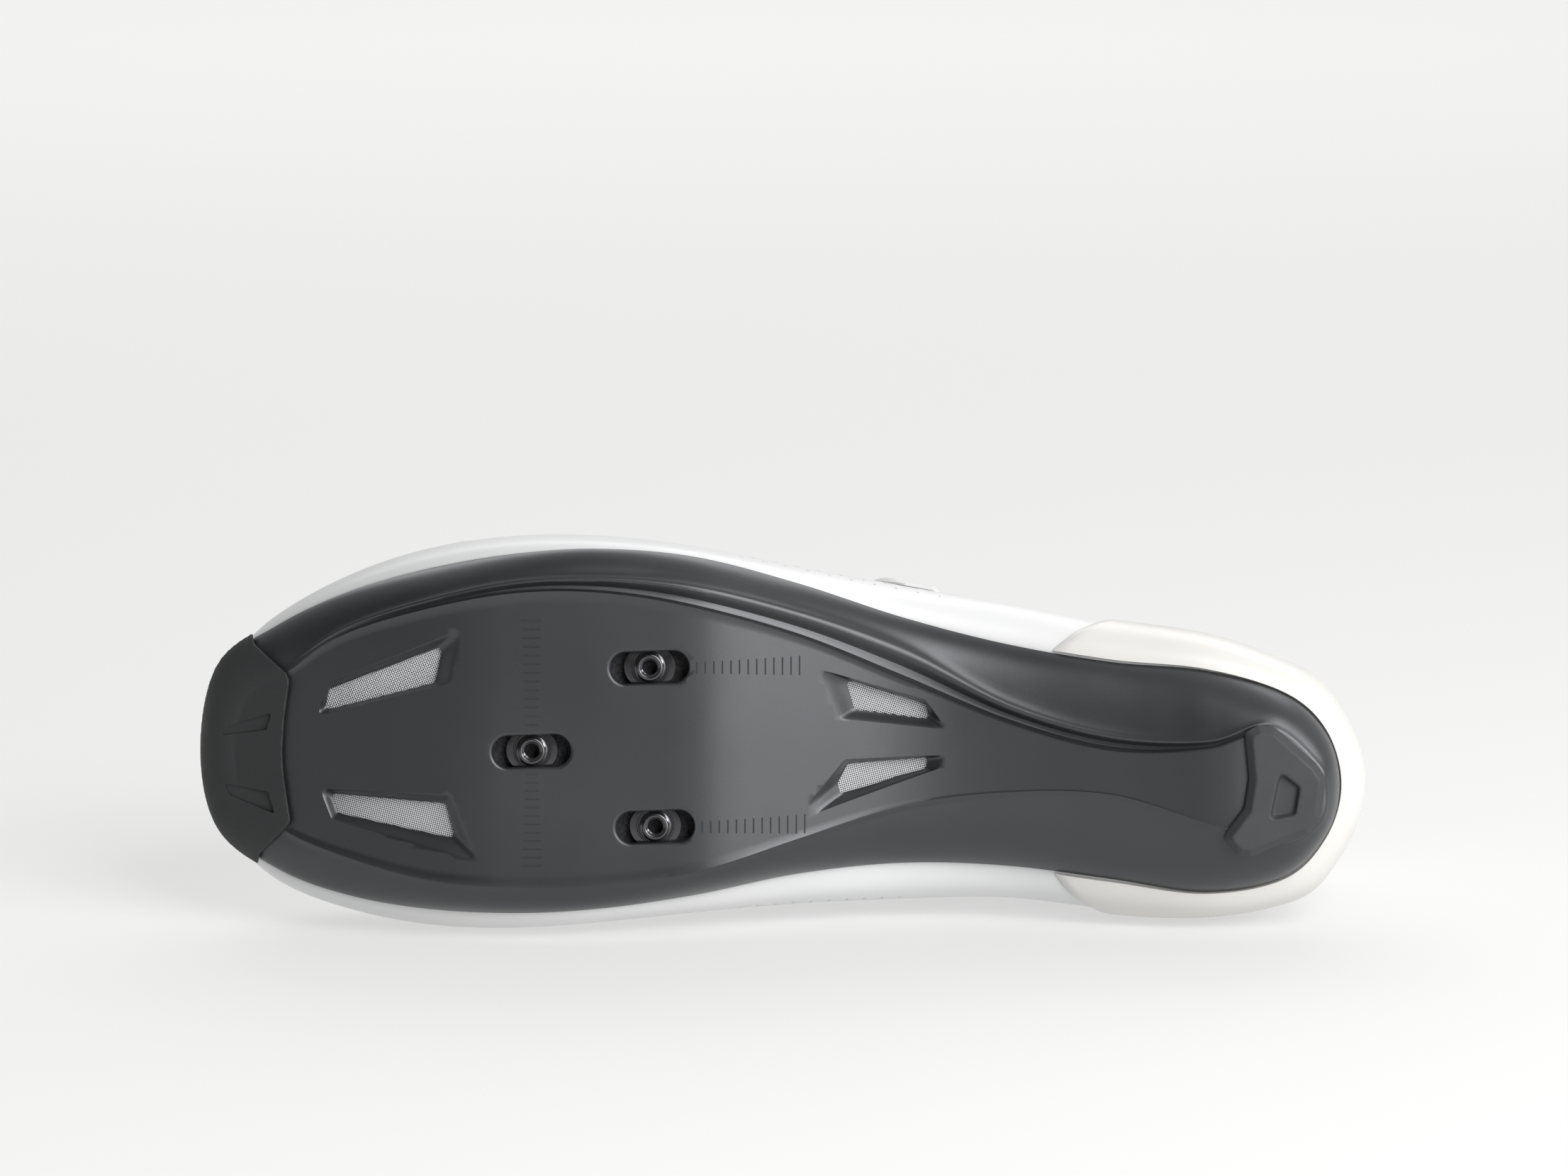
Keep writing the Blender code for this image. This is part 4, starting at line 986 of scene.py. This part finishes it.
def inset_polygon(corners, distance):
    """Polygon with each side moved inward by a distance."""
    corners = np.array(corners, float)
    ahead = np.roll(corners, -1, axis=0)
    area = np.sum(corners[:, 0] * ahead[:, 1] - ahead[:, 0] * corners[:, 1])
    along = unit(ahead - corners)
    inward = np.column_stack((-along[:, 1], along[:, 0])) * (1 if area > 0 else -1)
    moved = []
    for i, corner in enumerate(corners):
        first, second = inward[i - 1], inward[i]
        moved.append(corner + distance * (first + second) / (1 + first @ second))
    return np.array(moved)


def make_heel_pad():
    seat = SEAT_SHARE * ARCH_RISE - GAP
    ground = seat - PAD
    outline = rounded_outline(places(PAD_OUTLINE), PAD_CORNER, 6, 6)
    inset = rounded_outline(inset_polygon(places(PAD_OUTLINE), PAD_FACE_INSET), PAD_FACE_CORNER, 6, 6)
    recess = rounded_outline(places(PAD_RECESS_OUTLINE), PAD_RECESS_CORNER, 6, 6)
    centre = recess.mean(axis=0)
    sides = [at_height(outline, seat), at_height(outline, ground + PAD_BEVEL), at_height(inset, ground)]
    body = stacked("heel_pad_rubber", sides)
    floor = centre + PAD_RECESS_TAPER * (recess - centre)
    mouth = centre + PAD_RECESS_FLARE * (recess - centre)
    bottom = at_height(floor, ground + PAD_RECESS)
    sides = [at_height(mouth, ground - SHALLOW_REACH), at_height(recess, ground), bottom]
    cut(body, [stacked("pad_hollow", sides)])
    soften(body, PAD_VOXEL, 4)
    dress(body, PAD_RUBBER, "rubber", "heel_pad")


def within(points, polygon):
    """Which plan points lie in the polygon."""
    x, y = points[:, 0], points[:, 1]
    found = np.zeros(len(points), bool)
    for (x1, y1), (x2, y2) in zip(polygon, np.roll(polygon, -1, axis=0)):
        crosses = (y1 > y) != (y2 > y)
        with np.errstate(divide="ignore", invalid="ignore"):
            at = (x2 - x1) * (y - y1) / (y2 - y1) + x1
        found ^= crosses & (x < at)
    return found


def tube(path, radius, sides, closed=False):
    """Points and faces of a tube along a path, capped at its ends or closed to a ring."""
    path = np.asarray(path, float)
    count = len(path)
    if closed:
        tangent = unit(np.roll(path, -1, axis=0) - np.roll(path, 1, axis=0))
    else:
        tangent = unit(np.gradient(path, axis=0))
    side = np.zeros_like(path)
    guide = np.array((0.0, 0.0, 1.0)) if abs(tangent[0][2]) < 0.9 else np.array((1.0, 0.0, 0.0))
    for i in range(count):
        guide = guide - tangent[i] * (guide @ tangent[i])
        guide = guide / np.linalg.norm(guide)
        side[i] = guide
    other = np.cross(tangent, side)
    angle = 2 * math.pi * np.arange(sides) / sides
    ring = side[:, None] * np.cos(angle)[None, :, None] + other[:, None] * np.sin(angle)[None, :, None]
    points = (path[:, None] + radius * ring).reshape(-1, 3)
    return points, stack_faces(sides, count, wrap=closed)


def make_vent_wires(name):
    """Plain-woven wires behind the vent's window, across and along it."""
    _, window = VENTS[name]
    outline = rounded_outline(places(window), VENT_CORNER)
    centre = outline.mean(axis=0)
    edge = centre + (outline - centre) * WIRE_SPREAD
    axis = unit(outline[np.argmax(outline[:, 0])] - outline[np.argmin(outline[:, 0])])
    axes = np.array((axis, (-axis[1], axis[0])))
    flat = (edge - centre) @ axes.T
    low, high = flat.min(axis=0), flat.max(axis=0)
    level = SHELL + GAP + 2 * WIRE_RADIUS
    parts = []
    for way in (0, 1):
        other = 1 - way
        steps = np.arange(low[way], high[way], WIRE_PITCH)
        for i, at in enumerate(np.arange(low[other], high[other], WIRE_PITCH)):
            local = np.zeros((len(steps), 2))
            local[:, way] = steps
            local[:, other] = at
            plan = centre + local @ axes
            keep = within(plan, edge)
            if keep.sum() < 3:
                continue
            first, last = np.flatnonzero(keep)[[0, -1]]
            plan = plan[first : last + 1]
            side = np.where((np.arange(first, last + 1) + i + way) % 2 == 0, 1.0, -1.0)
            weave = (WIRE_WEAVE * WIRE_RADIUS * side)[:, None] * platform_normal(plan[:, 0])
            parts.append(tube(lifted(plan, level) + weave, WIRE_RADIUS, 4))
    wires = joined("vent_wires_" + name, parts, 80.0)
    dress(wires, WIRE, "vent_mesh", "vent_mesh_" + name)


def make_plate(name, centre):
    """Threaded plate: a flange with stepped shoulders and a chamfered, threaded collar."""
    count = PLATE_STEPS
    seat = SHELL + GAP
    top = seat + FLANGE
    angle = 2 * math.pi * (np.arange(count) + 0.5) / count - CLEAT_TURN

    def circle(radius, z):
        return at_height(np.column_stack((radius * np.cos(angle), radius * np.sin(angle))), z)

    loops = []
    start, ends = COLLAR_RECESS + THREAD_START, 2 * THREAD_TURNS
    for k in range(ends + 1):
        loops.append(circle(BORE_RADIUS - (THREAD_DEPTH if k % 2 else 0.0), top + (start - top) * k / ends))
    sizes = {"bore": BORE_RADIUS, "collar": COLLAR_RADIUS, "recess": COLLAR_RECESS, "seat": seat, "top": top}
    for radius, out, level, up in PLATE_RINGS:
        loops.append(circle(sizes[radius] + out, sizes[level] + up))
    for share, level, up in PLATE_FLANGE:
        oval = stadium(np.zeros(2), FLANGE_LENGTH * share, FLANGE_WIDTH * share, count)
        loops.append(at_height(oval, sizes[level] + up))
    loops.append(circle(BORE_RADIUS + BORE_CHAMFER, top))
    points = np.vstack(loops) + np.array((centre[0], centre[1], CLEAT_SHARE * ARCH_RISE))
    plate = add_object("cleat_plate_" + name, points, stack_faces(count, len(loops), wrap=True), 30.0)
    dress(plate, PLATE, "cleat_metal", "cleat_nut_" + name, body="nut_" + name)


# Upper


def skin_section(row, place, offset):
    """Upper's face from the sole's rim up, clear of the shell's edge near the rim."""
    rim = flank_point(row, np.ones_like(row))
    start = flank_lifted(row, np.ones_like(row), np.full_like(row, SHELL_RIM + GAP))
    fade = (np.clip(1 - place / RIM_FADE, 0.0, 1.0) ** 2)[..., None]
    return upper_offset(row, place, offset) + (start - rim) * fade


def crease_relief(points):
    """Depth of the creases at points of the upper, as soft troughs with raised shoulders."""
    depth = np.zeros(len(points))
    t = np.linspace(0, 1, 24)
    for crease in CREASES:
        row = crease.row + (crease.last_row - crease.row) * t
        line = belly_section(row, crease.place + (crease.last_place - crease.place) * t)
        away = np.min(np.linalg.norm(points[:, None] - line[None], axis=-1), axis=1)
        s = away / crease.width
        shoulder = CREASE_SHOULDER * np.exp(-(((s - 1.0) / CREASE_SPREAD) ** 2))
        depth += crease.depth * (np.exp(-((s / CREASE_SPREAD) ** 2)) - shoulder)
    return depth


def wall_sheet(steps, margin, lifts, up, offsets, relief=False):
    """Sheet of the upper: under the foot at margin, lifted off the flank, and then up the side.

    Lifts are at the platform's edge; like the shell, they shrink towards the rim. Offsets may
    be a number or a function of row and place.
    """
    total = ROUND * steps
    row = np.repeat(np.arange(total) / steps, len(margin))
    reach = np.tile(margin, total)
    base, added = lifts
    lift = base + (SHELL_RIM - SHELL) * reach**2 + added
    tucked = flank_lifted(row, reach, lift).reshape(total, -1, 3)
    row, place = np.repeat(np.arange(total) / steps, len(up)), np.tile(up, total)
    offset = offsets(row, place) if callable(offsets) else np.full_like(row, offsets)
    points = skin_section(row, place, offset)
    if relief:
        depth = crease_relief(belly_section(row, place))
        points = points - depth[:, None] * upper_normal(row, place)
    return np.concatenate((tucked, points.reshape(total, -1, 3)), axis=1)


def wall(name, outer, inner, sharp):
    quads = grid_quads(len(outer), outer.shape[1], wrap=True)
    return closed_shell(name, outer.reshape(-1, 3), inner.reshape(-1, 3), quads, sharp)


def make_skin():
    margin = np.linspace(0.55, 0.97, 6)
    up = np.concatenate((np.linspace(0, 0.5, 12), np.linspace(0.54, 2.0, 52)))
    base = SHELL + GAP
    outer = wall_sheet(SKIN_STEPS, margin, (base, 0.0), up, 0.0, relief=True)
    inner = wall_sheet(SKIN_STEPS, margin, (base, SKIN), up, -SKIN)
    skin = wall("upper_skin", outer, inner, 50.0)
    cut(skin, [perforations()], sharp=50.0)
    dress(skin, SKIN_WHITE, "synthetic", "upper")


def perforations():
    """Cutters of the small holes along both sides of the arch: chevrons, then dots."""
    parts = []
    for first_row, last_row in HOLE_ROWS:
        for line, place in enumerate(HOLE_PLACES):
            for i in range(HOLES):
                t = (i + 0.5 * (line % 2)) / (HOLES - 0.5)
                row = first_row + (last_row - first_row) * t
                size = HOLE_SIZES[0] + (HOLE_SIZES[1] - HOLE_SIZES[0]) * t
                parts.append(hole(np.array(row), np.array(place), hole_outline(size, t < CHEVRONS_TO)))
    return joined("perforation_cut", parts)


def hole_outline(size, chevron):
    if chevron:
        half, thick = size / 2, CHEVRON_LINE
        plan = [(0, 0), (half, half), (half, half - 2 * thick), (thick, 0)]
        plan += [(half, -half + 2 * thick), (half, -half)]
        return [(-half / 2 + x, y) for x, y in plan]
    angles = [2 * math.pi * k / 10 for k in range(10)]
    return [(DOT_SHARE * size * math.cos(a), DOT_SHARE * size * math.sin(a)) for a in angles]


def hole(row, place, plan):
    """Points and faces of a cutter into the skin, of a flat outline."""
    centre, normal = belly_section(row, place), upper_normal(row, place)
    forward = unit(np.array((1.0, 0.0, 0.0)) - normal * normal[0])
    up = np.cross(normal, forward)
    points = []
    for lift in (-HOLE_DEPTH, HOLE_REACH):
        points += [centre + normal * lift + forward * x + up * y for x, y in plan]
    return np.array(points), stack_faces(len(plan), 2)


def collar_padding(row, place):
    """Extra thickness of the lining inside the collar, fading towards the throat and the foot."""
    around = np.minimum(row, ROUND - row)
    top = 1 - COLLAR_PAD_THINS * ramp(place, *COLLAR_PAD_THIN_PLACES)
    sides = 1 - ramp(around, *COLLAR_PAD_ROWS)
    return COLLAR_PAD * sides * ramp(place, *COLLAR_PAD_PLACES) * top


def lining_offset(row, place):
    return -SKIN - SKIN_CLEAR - (LINING + collar_padding(row, place))


def make_lining():
    margin = np.linspace(0.6, 1.0, 5)
    up = np.linspace(0.05, 1.985, 44)
    base = SHELL + GAP + SKIN + SKIN_CLEAR
    outer = wall_sheet(LINING_STEPS, margin, (base, 0.0), up, -SKIN - SKIN_CLEAR)
    inner = wall_sheet(LINING_STEPS, margin, (base, LINING), up, lining_offset)
    dress(wall("upper_lining", outer, inner, 60.0), LINING_DARK, "lining")


def make_binding():
    """Rolled tape round the collar and the throat."""
    row = np.arange(ROUND * 10) / 10
    path = upper_offset(row, np.full_like(row, 2.0), np.full_like(row, -0.5 * WALL))
    binding = joined("collar_binding", [tube(path, BINDING_RADIUS, 10, closed=True)], 60.0)
    dress(binding, BINDING, "synthetic")


def seam(path, normals):
    """Short raised stitches along a path, as parts for one joined mesh."""
    steps = np.linalg.norm(np.diff(path, axis=0), axis=1)
    distance = np.concatenate(((0.0,), np.cumsum(steps)))
    rise = np.array((-0.6, 0.35, 0.6, 0.35, -0.6)) * STITCH_RADIUS
    parts, at = [], STITCH_GAP
    while at + STITCH < distance[-1]:
        t = np.linspace(at, at + STITCH, len(rise))
        line = np.column_stack([np.interp(t, distance, path[:, axis]) for axis in range(3)])
        out = np.column_stack([np.interp(t, distance, normals[:, axis]) for axis in range(3)])
        parts.append(tube(line + out * rise[:, None], STITCH_RADIUS, 5))
        at += STITCH + STITCH_GAP
    return parts


def make_stitches():
    """Double line of stitches below the throat's edge, and one below the collar."""
    parts = []
    for first, last, count, place in SEAMS:
        row = np.linspace(first, last, count) % ROUND
        place = np.full(count, place)
        parts += seam(upper_offset(row, place, np.zeros(count)), upper_normal(row, place))
    dress(joined("upper_stitches", parts, 80.0), THREAD, "synthetic")


def make_heel_cup():
    """Moulded overlay with a soft step at its edges."""
    rows, columns = CUP_GRID
    across = np.repeat(np.linspace(-1, 1, rows), columns)
    rise = np.tile(np.linspace(0, 1, columns), rows)
    row = across * (CUP_ROWS - CUP_FRONT_SLANT * rise)
    top = CUP_TOP + (CUP_FRONT_TOP - CUP_TOP) * np.abs(across) ** 3
    place = CUP_FOOT + (top - CUP_FOOT) * rise
    edge = ramp((1 - np.abs(across)) * CUP_HALF_LENGTH, 0.0, CUP_STEP) * ramp(1 - rise, 0.0, CUP_TOP_STEP)
    outer = skin_section(row, place, GAP + (CUP - CUP_CLEAR) * (CUP_EDGE + (1 - CUP_EDGE) * edge))
    inner = skin_section(row, place, np.full_like(row, SKIN_CLEAR))
    cup = closed_shell("heel_cup_overlay", inner, outer, grid_quads(rows, columns), 50.0)
    dress(cup, CUP_WHITE, "heel_cup", "heel_cup")


def over_throat(row, offset, reach_out, reach_in, share):
    """Points from the outer side over the throat to the inner side; share runs 0 to 1."""
    edge = np.full_like(row, 2.0)
    out = reach_out + (2.0 - reach_out) * np.clip(share / THROAT_SIDE, 0, 1)
    into = 2.0 + (reach_in - 2.0) * np.clip((share - (1 - THROAT_SIDE)) / THROAT_SIDE, 0, 1)
    outer, inner = upper_offset(row, out, offset), upper_offset(ROUND - row, into, offset)
    start, end = upper_offset(row, edge, offset), upper_offset(ROUND - row, edge, offset)
    t = np.clip((share - THROAT_SIDE) / (1 - 2 * THROAT_SIDE), 0, 1)[..., None]
    middle = start + (end - start) * t
    middle[..., 2] += THROAT_ARCH * (1 - (2 * t[..., 0] - 1) ** 2)
    share = share[..., None]
    return np.where(share < THROAT_SIDE, outer, np.where(share > 1 - THROAT_SIDE, inner, middle))


def strap_sheet(strap, rows, columns, offset_of):
    """Grid of points of a strap, rows across it and columns along it, softened over the throat."""
    share = np.tile(np.linspace(0, 1, columns), rows)
    across = np.repeat(np.linspace(0, 1, rows), columns)
    at_ends = (strap.outer_rows, strap.throat_rows, strap.throat_rows, strap.inner_rows)
    edges = [np.interp(share, STRAP_SPANS, [pair[side] for pair in at_ends]) for side in (0, 1)]
    end = np.minimum(share, 1 - share)
    rounding = np.sqrt(np.clip(1 - (1 - np.clip(end / STRAP_TIP, 0, 1)) ** 2, 0, 1))
    narrowed = 0.5 + (across - 0.5) * (STRAP_TIP_WIDTH + (1 - STRAP_TIP_WIDTH) * rounding)
    row = edges[0] + (edges[1] - edges[0]) * narrowed
    points = over_throat(row, offset_of(across, share), strap.outer_reach, strap.inner_reach, share)
    points = points.reshape(rows, columns, 3)
    for _ in range(10):
        points[:, 1:-1] = 0.5 * points[:, 1:-1] + 0.25 * (points[:, :-2] + points[:, 2:])
    return points


def strap_face(across, share):
    """Height of the strap's outer face, lower along its edges and at its ends."""
    sides = ramp(np.minimum(across, 1 - across), 0.0, STRAP_SIDE)
    ends = ramp(np.minimum(share, 1 - share), 0.0, STRAP_END)
    return LOOSE_GAP + STRAP * (STRAP_EDGE + (1 - STRAP_EDGE) * np.minimum(sides, ends))


def strap_back(across, share):
    return np.full_like(share, LOOSE_GAP - STRAP_SINK)


def make_strap(name):
    rows, columns = STRAP_GRID
    outer, inner = (strap_sheet(STRAPS[name], rows, columns, face) for face in (strap_face, strap_back))
    quads = grid_quads(rows, columns)
    band = closed_shell(name + "_band", inner.reshape(-1, 3), outer.reshape(-1, 3), quads, 50.0)
    dress(band, STRAP_WHITE, "strap", name)
    outward = unit(outer - inner)
    parts = []
    for line in (SEAM_INSET, rows - 1 - SEAM_INSET):
        parts += seam(outer[line, SEAM_END:-SEAM_END], outward[line, SEAM_END:-SEAM_END])
    dress(joined(name + "_stitches", parts, 80.0), THREAD, "strap")


def make_tongue():
    rows, columns = TONGUE_GRID
    share = np.concatenate(((0.0,), np.linspace(THROAT_SIDE, 1 - THROAT_SIDE, columns - 2), (1.0,)))
    sheets = []
    for offset in (-WALL - LOOSE_GAP, -WALL - LOOSE_GAP - TONGUE):
        lines = []
        for i in range(rows):
            row = np.full(columns, TONGUE_ROWS[1] - i / 2)
            lines.append(over_throat(row, np.full(columns, offset), TONGUE_REACH, TONGUE_REACH, share))
        base = lines[-1]
        middle = base.mean(axis=0)
        for back, up, narrow in TONGUE_END:
            shift = np.array((-length(back), 0.0, up * THROAT_RISE))
            lines.append(middle + (base - middle) * np.array((1.0, narrow, 1.0)) + shift)
        sheets.append(np.vstack(lines))
    quads = grid_quads(rows + len(TONGUE_END), columns)
    tongue = closed_shell("tongue_pad", sheets[0], sheets[1], quads, 60.0)
    subdivide = tongue.modifiers.new("smooth", "SUBSURF")
    subdivide.levels = subdivide.render_levels = 3
    settle(tongue, 60.0)
    dress(tongue, TONGUE_WHITE, "tongue", "tongue")


def insole_edge(row, lift):
    """Places on the lifted flank that lie INSOLE_INSET inside the rim."""
    rim, edge = along_curve(RIM, row), edge_point(row)
    outward = unit((rim - edge) * np.array((1, 1, 0)))
    best = flank_lifted(row, np.zeros_like(row), np.full_like(row, lift))
    for reach in np.arange(1, 41) / 40:
        point = flank_lifted(row, np.full_like(row, reach), np.full_like(row, lift))
        inside_rim = np.sum((rim - point) * outward, axis=-1) >= INSOLE_INSET
        ahead = np.sum((point - best) * outward, axis=-1) >= 0
        best = np.where((inside_rim & ahead)[..., None], point, best)
    left = np.maximum(INSOLE_INSET - np.sum((rim - best) * outward, axis=-1), 0.0)
    return best - outward * left[..., None]


def make_insole():
    steps = INSOLE_STEPS
    lift = SHELL + WALL + 2 * GAP
    total = ROUND * steps
    edge = insole_edge(np.arange(total) / steps, lift)
    heel, toe = end_rows(steps)
    t = np.linspace(0, 1, len(heel) - 2)[:, None]
    lines = [edge[heel]]
    for k in range(FIRST_SIDE_ROW * steps + 1, LAST_SIDE_ROW * steps):
        start, end = edge_point(k / steps), edge_point((total - k) / steps)
        flat = platform_line(start, end, t, lift)
        lines.append(np.vstack((edge[k], flat, edge[total - k])))
    lines.append(edge[toe])
    lower = np.array(lines)
    for _ in range(6):
        lower[1:-1, 1:-1] = 0.5 * lower[1:-1, 1:-1] + 0.25 * (lower[1:-1, :-2] + lower[1:-1, 2:])
    quads = grid_quads(*lower.shape[:2])
    lower = lower.reshape(-1, 3)
    insole = closed_shell("insole_board", lower, lower + np.array((0, 0, INSOLE)), quads, 50.0)
    dress(insole, LINING_DARK, "lining", "insole")


# Stage, light and camera


def make_stage():
    """Pale floor that runs far behind the shoe and then sweeps up."""
    paper = new_material("studio_paper", PAPER, 0.9, specular=0.1)
    shader = paper.node_tree.nodes["Principled BSDF"]
    shader.inputs["Emission Color"].default_value = (1.0, 1.0, 0.995, 1.0)
    shader.inputs["Emission Strength"].default_value = PAPER_GLOW
    near, far, sweep, height, half = -3.0, 7.0, 1.2, 3.0, 5.0
    profile = [(near, 0.0), (far, 0.0)]
    for k in range(1, 13):
        angle = k / 12 * math.pi / 2
        profile.append((far + sweep * math.sin(angle), sweep * (1 - math.cos(angle))))
    profile.append((far + sweep, height))
    points = [(x, y, z) for y, z in profile for x in (-half, half)]
    faces = [(2 * i, 2 * i + 1, 2 * i + 3, 2 * i + 2) for i in range(len(profile) - 1)]
    floor = add_object("studio_floor", points, faces, 60.0, world=False)
    floor.data.materials.append(paper)


def make_lights():
    """Area lights, and a white world that is brighter behind the shoe than before it."""
    for name, place, aim, size, power in LIGHTS:
        data = bpy.data.lights.new(name, "AREA")
        data.shape = "RECTANGLE"
        data.size, data.size_y = size
        data.energy = power
        light = bpy.data.objects.new(name, data)
        bpy.context.scene.collection.objects.link(light)
        light.location = place
        light.rotation_euler = (Vector(aim) - Vector(place)).to_track_quat("-Z", "Y").to_euler()
    world = bpy.data.worlds.new("studio")
    bpy.context.scene.world = world
    world.use_nodes = True
    nodes, links = world.node_tree.nodes, world.node_tree.links
    background = nodes["Background"]
    background.inputs["Color"].default_value = (1.0, 1.0, 1.0, 1.0)
    axes = nodes.new("ShaderNodeSeparateXYZ")
    links.new(nodes.new("ShaderNodeTexCoord").outputs["Generated"], axes.inputs["Vector"])
    fall = nodes.new("ShaderNodeMapRange")
    for name, value in zip(("From Min", "From Max", "To Min", "To Max"), WORLD_FALL):
        fall.inputs[name].default_value = value
    links.new(axes.outputs["Y"], fall.inputs["Value"])
    links.new(fall.outputs["Result"], background.inputs["Strength"])
    bpy.context.scene.view_settings.view_transform = "Standard"


def make_camera():
    data = bpy.data.cameras.new("camera")
    data.lens = CAMERA_LENS
    data.sensor_width = SENSOR_WIDTH
    data.sensor_fit = "HORIZONTAL"
    data.clip_start = 0.05
    camera = bpy.data.objects.new("camera", data)
    bpy.context.scene.collection.objects.link(camera)
    forward = Vector((0.0, -math.sin(CAMERA_TILT), math.cos(CAMERA_TILT)))
    up = Vector((0.0, math.cos(CAMERA_TILT), math.sin(CAMERA_TILT)))
    right = Vector((-1.0, 0.0, 0.0))
    turn = SHOE.to_3x3() @ Matrix((right, up, -forward)).transposed()
    camera.matrix_world = Matrix.Translation(SHOE @ Vector(CAMERA_PLACE)) @ turn.to_4x4()
    bpy.context.scene.camera = camera


make_camera()
make_lights()
make_stage()
make_sole()
make_bumper()
make_heel_pad()
for vent in VENTS:
    make_vent_wires(vent)
for bolt, bolt_place in bolt_centres().items():
    make_plate(bolt, bolt_place)
make_skin()
make_lining()
make_binding()
make_stitches()
make_heel_cup()
for strap_name in STRAPS:
    make_strap(strap_name)
make_tongue()
make_insole()
